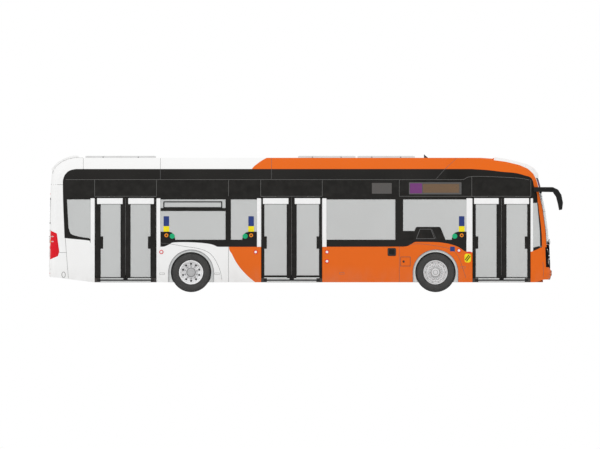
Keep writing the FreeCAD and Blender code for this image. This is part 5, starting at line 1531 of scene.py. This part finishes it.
side_details = Batch(plastic_black)
for k in range(11):
    z = 0.52 + 0.036 * k
    side_details.strip([(1.05, z), (1.95, z)], 0.020, driver, 0.004, step=0.5)
side_details.use(seam_dark)
side_details.rim(oblong(1.01, 1.99, 0.485, 0.915, 0.02), THIN, driver, 0.0012, chamfer=0.0004)
for u in (2.60, 5.85, 7.15, 10.22):
    side_details.strip([(u, 0.247), (u, 1.09)], THIN, driver, step=0.5)
side_details.use(lens_amber)
for u in (1.55, 4.9, 6.5, 8.0, 10.6):
    side_details.slab(oblong(u - 0.045, u + 0.045, 0.325, 0.365, 0.008), driver, 0.004)
side_details.finish("driver_side_details", slot="plastic_black")


# ---------------------------------------------------------------- seat pads
# Seats: place of the back along the bus, side, cushion's underside, width, depth.
SEAT_WALL, HOUSING_SEAT, FLOOR_SEAT, CUSHION_TALL, DOUBLE = 1.214, 1.055, 0.715, 0.080, 0.86
SEATS = [(AXLE_R + dx, s, HOUSING_SEAT, 0.60, 0.39) for s in (KERB, DRIVER) for dx in (-0.41, 0.05)]
SEATS += [(AXLE_F + dx, DRIVER, HOUSING_SEAT, 0.58, 0.39) for dx in (-0.43, 0.09)]
SEATS += [(x, KERB, FLOOR_SEAT, DOUBLE, 0.43) for x in (4.30, 7.05, 7.85)]
SEATS += [(x, DRIVER, FLOOR_SEAT, DOUBLE, 0.43) for x in (1.35, 2.10)]
SEATS += [(AXLE_R + dx, DRIVER, FLOOR_SEAT, DOUBLE, 0.43) for dx in (0.87, 1.62)]
SEATS += [(AXLE_F + dx, DRIVER, FLOOR_SEAT, DOUBLE, 0.43) for dx in (-2.63, -1.88, -1.18)]
BENCH_X, BENCH_HALF, BENCH_Z, BENCH_DEEP, BENCH_PADS = 0.600, 1.13, 1.035, 0.42, 5
BACK_TALL, BACK_PAD_LOW, BACK_PAD_HIGH = 0.640, 0.100, 0.615
SIM_FRAMES, PRESSURE, VOXEL, PAD_FACES = 20, 4.0, 0.006, 3600
PAD_SLACK, PAD_BEVEL, PAD_FOOT = (0.02, 0.02, 0.022), 0.014, 0.012
CHANNEL_DEEP, CHANNEL_WIDE = 0.085, 0.011       # depth as a share of the thickness, half width
PAD_GAP, BACK_INSET, BACK_THICK = 0.003, 0.010, 0.030


def scaled(point, size):
    return tuple(a * b for a, b in zip(point, size))


def unscaled(point, size):
    return Vector(a / b for a, b in zip(point, size))


def evaluated(piece):
    """Points and faces of an object with its modifiers applied."""
    bpy.context.view_layer.update()
    shown = piece.evaluated_get(bpy.context.evaluated_depsgraph_get())
    mesh = bpy.data.meshes.new_from_object(shown)
    points = [v.co.copy() for v in mesh.vertices]
    faces = [tuple(p.vertices) for p in mesh.polygons]
    bpy.data.meshes.remove(mesh)
    return points, faces


def start_shape(size):
    """A block with rounded edges in small even faces: the object, its points and its faces."""
    made = bmesh.new()
    bmesh.ops.create_cube(made, size=1.0)
    for v in made.verts:
        v.co = scaled((v.co.x, v.co.y, v.co.z + 0.5), size)
    bmesh.ops.bevel(made, geom=made.edges[:], offset=PAD_BEVEL, segments=3, affect="EDGES")
    mesh = bpy.data.meshes.new("pad_start")
    made.to_mesh(mesh)
    made.free()
    pad = bpy.data.objects.new("pad_start", mesh)
    bpy.context.scene.collection.objects.link(pad)
    remesh = pad.modifiers.new("remesh", "REMESH")
    remesh.mode = "VOXEL"
    remesh.voxel_size = VOXEL
    points, faces = evaluated(pad)
    pad.modifiers.clear()
    mesh.clear_geometry()
    mesh.from_pydata(points, [], faces)
    return pad, points, faces


def blown_up(pad, points):
    """The points of a pad after its cloth has been under pressure, with its foot held."""
    foot = pad.vertex_groups.new(name="foot")
    foot.add([i for i, p in enumerate(points) if p.z < PAD_FOOT], 1.0, "REPLACE")
    cloth = pad.modifiers.new("cloth", "CLOTH")
    cloth.settings.use_pressure = True
    cloth.settings.uniform_pressure_force = PRESSURE
    cloth.settings.effector_weights.gravity = 0.0
    cloth.settings.vertex_group_mass = "foot"
    cloth.settings.quality = 6
    cloth.point_cache.frame_start = 1
    cloth.point_cache.frame_end = SIM_FRAMES
    for step in range(1, SIM_FRAMES + 1):
        bpy.context.scene.frame_set(step)
    moved = evaluated(pad)[0]
    bpy.context.scene.frame_set(1)
    return moved


def inflated(size, cap, channels):
    """A stuffed pad with its foot flat, its points scaled to a box of 1 x 1 x 1."""
    size = Vector(size)
    pad, points, faces = start_shape(size - Vector(PAD_SLACK))
    moved = blown_up(pad, points)
    bpy.data.objects.remove(pad)
    out = []
    for a, b in zip(points, moved):
        way = b - a
        out.append(a + way * min(1.0, cap / max(way.length, 1e-6)))
    low = Vector(min(p[k] for p in out) for k in range(3))
    high = Vector(max(p[k] for p in out) for k in range(3))
    span = high - low
    unit = [Vector((p[k] - low[k]) / span[k] for k in range(3)) for p in out]
    for p in unit:
        if p.z > 0.5:
            for line in channels:
                p.z -= CHANNEL_DEEP * math.exp(-(((p.x - line) * size.x) / CHANNEL_WIDE) ** 2)
    return lighter(unit, faces, size)


def lighter(unit, faces, size):
    """The same pad with about PAD_FACES triangles."""
    mesh = bpy.data.meshes.new("pad_lighter")
    mesh.from_pydata([scaled(p, size) for p in unit], [], faces)
    pad = bpy.data.objects.new("pad_lighter", mesh)
    bpy.context.scene.collection.objects.link(pad)
    fewer = pad.modifiers.new("fewer", "DECIMATE")
    fewer.ratio = min(1.0, PAD_FACES / (2 * len(faces)))
    points, kept = evaluated(pad)
    bpy.data.objects.remove(pad)
    return [unscaled(p, size) for p in points], kept


def welt(unit, faces, size, count=64):
    """Piping round the pad, where its top meets its sides."""
    skin = BVHTree.FromPolygons([scaled(p, size) for p in unit], faces)
    middle = Vector(scaled((0.5, 0.5, 0.70), size))
    line = []
    for turn in turns(count) + [2 * math.pi]:
        way = Vector((math.cos(turn), math.sin(turn), 0))
        line.append(unscaled(skin.ray_cast(middle + way * 2.0, -way)[0], size))
    return line


def lay_pad(name, kind, place, size, replaces=()):
    """A pad of a kind, scaled to (depth, width, thickness), as its own piece."""
    unit, faces, line = kind
    batch = Batch(moquette)
    verts = [batch.mesh.verts.new(place(*scaled(p, size))) for p in unit]
    for face in faces:
        batch.mesh.faces.new([verts[i] for i in face]).material_index = batch.index
    batch.use(seat_piping).tube([place(*scaled(p, size)) for p in line], 0.0038, 6)
    piece = batch.finish(name, slot="seat_fabric", angle=60, replaces=replaces)


def cushion(kind, place, size):
    lay_pad(f"seat_cushion_{next(cushion_number):02d}", kind, place, size, ["seat_cushions"])


def back(place, tall, width, thick=BACK_THICK):
    lay_pad(f"seat_back_{next(back_number):02d}", back_pad, place, (tall, width, thick))


def kind_of(size, cap, channels):
    unit, faces = inflated(size, cap, channels)
    return unit, faces, welt(unit, faces, size)


# Kinds of pad: size, how far the pressure may move a point, places of its channels.
single_pad = kind_of((0.43, 0.428, 0.080), 0.024, (0.30, 0.62))
wide_pad = kind_of((0.39, 0.590, 0.080), 0.024, (0.30, 0.62))
driver_pad = kind_of((0.48, 0.480, 0.120), 0.028, (0.25, 0.5, 0.75))
back_pad = kind_of((0.515, 0.428, 0.050), 0.016, (0.22, 0.74))


def level_place(x, y, z):
    return lambda u, v, w: Vector((at(x) + u, y + v, z + w))


def upright_place(x, y, z):
    return lambda u, v, w: Vector((at(x) + w, y + v, z + u))


def seat(kind, x, y, z, depth, width):
    """A cushion and its back pad, from the edge at y across the bus."""
    cushion(kind, level_place(x, y + PAD_GAP, z), (depth, width - 2 * PAD_GAP, CUSHION_TALL))
    inset_y = PAD_GAP + BACK_INSET
    back(upright_place(x, y + inset_y, z + BACK_PAD_LOW), BACK_PAD_HIGH - BACK_PAD_LOW,
         width - 2 * inset_y)


cushion_number, back_number = itertools.count(1), itertools.count(1)
for x, side, z, width, depth in SEATS:
    edge = min(side * SEAT_WALL, side * (SEAT_WALL - width))
    if width == DOUBLE:
        seat(single_pad, x, edge, z, depth, width / 2)
        seat(single_pad, x, edge + width / 2, z, depth, width / 2)
    else:
        seat(wide_pad, x, edge, z, depth, width)
for k in range(BENCH_PADS):
    width = 2 * BENCH_HALF / BENCH_PADS
    seat(single_pad, BENCH_X, -BENCH_HALF + width * k, BENCH_Z, BENCH_DEEP, width)

# Driver's seat: cushion on a bellows foot, a back pad on the sloping back and a head pad.
CAB_SEAT_X, CAB_SEAT_Y, CAB_Z = 10.860, 0.735, 0.465
CAB_PAD, CAB_PAD_TALL, CAB_BACK_THICK = 0.48, 0.120, 0.045
cushion(driver_pad, level_place(CAB_SEAT_X, CAB_SEAT_Y - CAB_PAD / 2, CAB_Z + 0.300),
        (CAB_PAD, CAB_PAD, CAB_PAD_TALL))
lean = math.atan2(0.11, 0.66)


def sloped_place(start, across):
    """Up the driver's back from a distance over its foot."""
    def place(u, v, w):
        up = start + u
        return Vector((at(CAB_SEAT_X + 0.100) - up * math.sin(lean) + w * math.cos(lean),
                       CAB_SEAT_Y + across + v,
                       CAB_Z + 0.420 + up * math.cos(lean) + w * math.sin(lean)))
    return place


back(sloped_place(0.03, -0.215), 0.44, 0.43, CAB_BACK_THICK)
back(sloped_place(0.49, -0.13), 0.16, 0.26, CAB_BACK_THICK)

bellows = Batch(rubber)
folds = []
for k in range(13):
    half = 0.150 if k % 2 else 0.138
    folds.append([(at(CAB_SEAT_X + 0.23) + u, CAB_SEAT_Y + v, CAB_Z + 0.024 * k + 0.002)
                  for u, v in rounded(oblong(-half, half, -half, half), 0.03)])
bellows.loft(folds)
bellows.finish("driver_seat_bellows", slot="plastic_black")

# ---------------------------------------------------------------- handles, rails and straps
RAIL_Y, RAIL_Z, CEILING_Z, RAIL_FROM, RAIL_TO = 0.42, 2.03, 2.717, 1.55, 10.02
# Bow of a grip: in from the seat's aisle edge, height over its back.
GRIP_BOW = [(0.20, -0.004), (0.19, 0.05), (0.13, 0.075), (0.04, 0.055), (0.014, -0.004)]
grips = Batch(pole_paint)
for x, side, z, width, _ in SEATS:
    y, top = side * (SEAT_WALL - width), z + BACK_TALL
    bow = [(at(x) - 0.022, y + side * inward, top + rise) for inward, rise in GRIP_BOW]
    grips.tube(smooth_line(bow, 0.03), 0.011, 8)
grips.finish("seat_grips", slot="pole_steel")

HANGERS, STRAPS, STRAP_FROM, STRAP_STEP = 8, 11, 2.0, 0.74
HANGER_FLANGE = [(0.034, 0.0), (0.034, -0.006), (0.018, -0.016), (0.014, -0.017)]
STRAP_LOOP = [(0, -0.15), (-0.055, -0.225), (-0.045, -0.245), (0.045, -0.245), (0.055, -0.225),
              (0, -0.15)]
rails = Batch(pole_paint)
for side in (-1, 1):
    y = side * RAIL_Y
    rails.use(pole_paint).tube([(at(u), y, RAIL_Z) for u in (RAIL_FROM, RAIL_TO)], 0.016, 12)
    for k in range(HANGERS):
        x = at(RAIL_FROM + 0.03 + (RAIL_TO - RAIL_FROM - 0.06) * k / (HANGERS - 1))
        rails.tube([(x, y, RAIL_Z), (x, y, CEILING_Z)], 0.013, 10)
        rails.lathe(HANGER_FLANGE, (x, y, CEILING_Z), UP, 16)
    rails.use(plastic_black)
    for k in range(STRAPS):
        x = at(STRAP_FROM + STRAP_STEP * k)
        rails.tube([(x, y, RAIL_Z + 0.018), (x, y, RAIL_Z - 0.16)], 0.012, 8, flat=0.25)
        rails.tube([(x + u, y, RAIL_Z + w) for u, w in STRAP_LOOP], 0.0075, 8)
rails.finish("ceiling_rails", slot="pole_steel")

POLES = [(1.340, -0.42), (2.760, -0.42), (4.220, -0.33), (4.980, -0.33), (5.858, 0.42),
         (6.760, -0.33), (AXLE_F - 0.91, -0.33), (AXLE_F - 0.91, 0.33), (10.120, -0.42),
         (10.120, 0.42)]
POLE_R, BUTTON_OUT = 0.017, 0.030
FOOT_FLANGE = [(0.045, -0.003), (0.045, 0.006), (0.024, 0.014), (POLE_R, 0.016), (POLE_R, -0.003)]
HEAD_FLANGE = [(0.045, 0.017), (0.045, 0.008), (0.024, 0.0), (POLE_R, -0.002), (POLE_R, 0.017)]
STOP_BUTTON = [(0.020, 0.0), (0.020, 0.004), (0.014, 0.007), (0.0, 0.008)]
buttons = Batch(red_trim)
for u, v in POLES:
    for z, profile in ((0.318, FOOT_FLANGE), (2.700, HEAD_FLANGE)):
        buttons.use(pole_paint).lathe(profile, (at(u), v, z), UP, 20, around=True)
    side = 1 if v < 0 else -1
    face = v + side * (POLE_R + BUTTON_OUT)
    buttons.use(plastic_grey).bar((u - 0.028, u + 0.028), sorted((v + side * (POLE_R - 0.004), face)),
                                  (1.33, 1.43), 0.006)
    buttons.use(red_trim).lathe(STOP_BUTTON, (at(u), face, 1.385), (0, side, 0), 18)
buttons.finish("pole_fittings", slot="plastic_grey")


# ---------------------------------------------------------------- ceiling
def under_ceiling(batch, u0, u1, middle, half, deep, back, chamfer):
    """A box under the ceiling: middle and half width across, depth of its foot and of its top."""
    batch.bar((u0, u1), (middle - half, middle + half), (CEILING_Z - deep, CEILING_Z - back), chamfer)


LIGHTS, LIGHT_FROM, LIGHT_STEP, LIGHT_LONG, LIGHT_Y, SLOT_Y = 12, 1.05, 0.83, 0.80, 0.66, 0.36
ceiling = Batch(trim_grey)
for side in (-1, 1):
    y = side * LIGHT_Y
    for k in range(LIGHTS):
        u0 = LIGHT_FROM + LIGHT_STEP * k
        u1 = u0 + LIGHT_LONG
        under_ceiling(ceiling.use(trim_grey), u0, u1, y, 0.075, 0.022, 0.001, 0.006)
        under_ceiling(ceiling.use(light_cover), u0 + 0.03, u1 - 0.03, y, 0.055, 0.028, 0.018, 0.004)
    under_ceiling(ceiling.use(plastic_grey), 0.95, 11.1, side * SLOT_Y, 0.012, 0.010, 0.001, 0.003)
for u in (3.2, 7.4):
    under_ceiling(ceiling.use(trim_grey), u, u + 0.62, 0, 0.30, 0.030, 0.001, 0.008)
    under_ceiling(ceiling.use(plastic_black), u + 0.26, u + 0.36, 0, 0.10, 0.046, 0.028, 0.005)
ceiling.finish("ceiling_lights", slot="lining")

# ---------------------------------------------------------------- cab
PANEL_FOOT = (11.735, 1.095)
cab = Batch(plastic_black)
hood_line = [PANEL_FOOT, (11.700, 1.205), (11.735, 1.262), (11.860, 1.235), (11.915, 1.075)]
cab.loft([[(at(u), y, v) for u, v in inset(hood_line, by)]
          for y, by in ((0.475, 0.012), (0.490, 0.0), (0.980, 0.0), (0.995, 0.012))])
cab.use(display_grey)
face = Vector((11.700 - PANEL_FOOT[0], 0, 1.205 - PANEL_FOOT[1])).normalized()
out = Vector((-face.z, 0, face.x))


def panel(u, v, w):
    """On the instrument panel: across, up its face, out of it."""
    base = Vector((at(PANEL_FOOT[0]), CAB_SEAT_Y, PANEL_FOOT[1]))
    return base + Vector((0, u, 0)) + face * v + out * w


DIAL_UP = 0.060             # the dials' middle, up the panel's face
DIAL_RING = [(0.048, -0.002), (0.048, 0.004), (0.043, 0.006), (0.042, 0.001)]
DIAL_FACE = [(0.043, -0.001), (0.043, 0.0015), (0.0, 0.0018)]
NEEDLE = [(-0.002, 0.0), (0.002, 0.0), (0.022, 0.030)]
cab.slab(oblong(-0.075, 0.075, 0.020, 0.100, 0.008), panel, 0.003)
for u in (-0.155, 0.155):
    dial = panel(u, DIAL_UP, 0)
    cab.use(steel_dull).lathe(DIAL_RING, dial, out, 28, around=True)
    cab.use(display_grey).lathe(DIAL_FACE, dial, out, 28)
    needle = [(u + a, DIAL_UP + b) for a, b in NEEDLE]
    cab.use(red_trim).stack([(needle, 0.0015), (needle, 0.003)], panel)
# Ticket machine with its display, and a row of switches.
cab.use(plastic_grey).bar((11.74, 11.86), (0.02, 0.19), (1.085, 1.33), 0.010)
cab.use(display_grey).bar((11.736, 11.745), (0.04, 0.17), (1.20, 1.31), 0.003)
cab.use(plastic_black)
for k in range(6):
    cab.bar((11.80, 11.83), (0.24 + 0.035 * k, 0.262 + 0.035 * k), (1.098, 1.110), 0.003)
cab.finish("cab_instruments", slot="plastic_black")

CAB_DOOR_FROM, CAB_DOOR_TO, CAB_DOOR_Y = 11.262, 11.640, 0.235
cab_door = Batch(lining)
cab_door.bar((CAB_DOOR_FROM, CAB_DOOR_TO), (CAB_DOOR_Y - 0.013, CAB_DOOR_Y + 0.013), (0.480, 1.250),
             0.006)
cab_door.use(plastic_grey)
cab_door.rim(oblong(CAB_DOOR_FROM, CAB_DOOR_TO, 1.250, 1.950), 0.020,
             lambda u, v, w: Vector((at(u), CAB_DOOR_Y + w, v)), 0.012, back=-0.012)
cab_door.use(steel_dull).bar((11.30, 11.42), (0.200, 0.224), (1.02, 1.045), 0.006)
cab_door.finish("cab_door", slot="lining")

wheel_pad = Batch(plastic_grey)
tilt = math.radians(28)
wheel_axis = Vector((-math.sin(tilt), 0, math.cos(tilt)))
wheel_middle = Vector((at(11.480), CAB_SEAT_Y, 1.190))
wheel_pad.lathe([(0.064, 0.010), (0.064, 0.018), (0.056, 0.026), (0.020, 0.029), (0.0, 0.029)],
                wheel_middle, wheel_axis, 28)
wheel_pad.finish("steering_wheel_pad", slot="plastic_grey")


# ---------------------------------------------------------------- floor, light, camera
def white_to_eye(tree, surface):
    """White where the camera, a mirror or a pane sees it, the given surface to all other rays."""
    def larger(a, b):
        node = tree.nodes.new("ShaderNodeMath")
        node.operation = "MAXIMUM"
        tree.links.new(a, node.inputs[0])
        tree.links.new(b, node.inputs[1])
        return node.outputs[0]

    rays = tree.nodes.new("ShaderNodeLightPath").outputs
    seen = larger(rays["Is Camera Ray"], larger(rays["Is Glossy Ray"], rays["Is Transmission Ray"]))
    white = tree.nodes.new("ShaderNodeBackground")
    white.inputs["Color"].default_value = (1.0, 1.0, 1.0, 1.0)
    white.inputs["Strength"].default_value = 1.0
    choice = tree.nodes.new("ShaderNodeMixShader")
    for socket, source in zip(choice.inputs, (seen, surface, white.outputs[0])):
        tree.links.new(source, socket)
    tree.links.new(choice.outputs[0], tree.nodes["World Output"].inputs["Surface"])


world = bpy.data.worlds.new("studio")
bpy.context.scene.world = world
world.use_nodes = True
sky = world.node_tree.nodes["Background"]
sky.inputs["Color"].default_value = (1.0, 1.0, 1.0, 1.0)
sky.inputs["Strength"].default_value = 0.92
white_to_eye(world.node_tree, sky.outputs[0])

FLOOR_SIZE = 160.0
bpy.ops.mesh.primitive_plane_add(size=FLOOR_SIZE, location=(0, 0, cad_low.z - 0.002))
ground = bpy.context.object
ground.name = "studio_floor"
pale = Material("pale_floor", (0.86, 0.86, 0.86), 0.9, Specular_IOR_Level=0.1)
pale.set("Base Color", pale.mottled((0.86, 0.86, 0.86), 0.01, 0.3))
ground.data.materials.append(pale.material)
ground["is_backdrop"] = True

# Sun lamps: name, turn about X, turn about Z, strength, angle of the sun's disc.
for name, tilt, turn, strength, angle in (("key", 52, -22, 0.55, 30), ("fill", 60, 150, 0.35, 60)):
    lamp = bpy.data.lights.new(name, "SUN")
    lamp.energy = strength
    lamp.angle = math.radians(angle)
    holder = bpy.data.objects.new(name, lamp)
    holder.rotation_euler = (math.radians(tilt), 0, math.radians(turn))
    bpy.context.scene.collection.objects.link(holder)

VIEW_WIDTH, AIM_X, AIM_Z = 14.484, -0.145, 1.633
lens = bpy.data.cameras.new("side_view")
lens.type = "ORTHO"
lens.ortho_scale = VIEW_WIDTH
lens.clip_end = 200.0
camera = bpy.data.objects.new("side_view", lens)
camera.location = (AIM_X, -30.0, AIM_Z)
camera.rotation_euler = (math.radians(90), 0, 0)
bpy.context.scene.collection.objects.link(camera)
bpy.context.scene.camera = camera
bpy.context.scene.view_settings.view_transform = "Standard"

# ---------------------------------------------------------------- sizes of the CAD model and of the scene
low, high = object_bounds()
{"cad": [list(cad_low), list(cad_high)], "visual": [list(low), list(high)]}
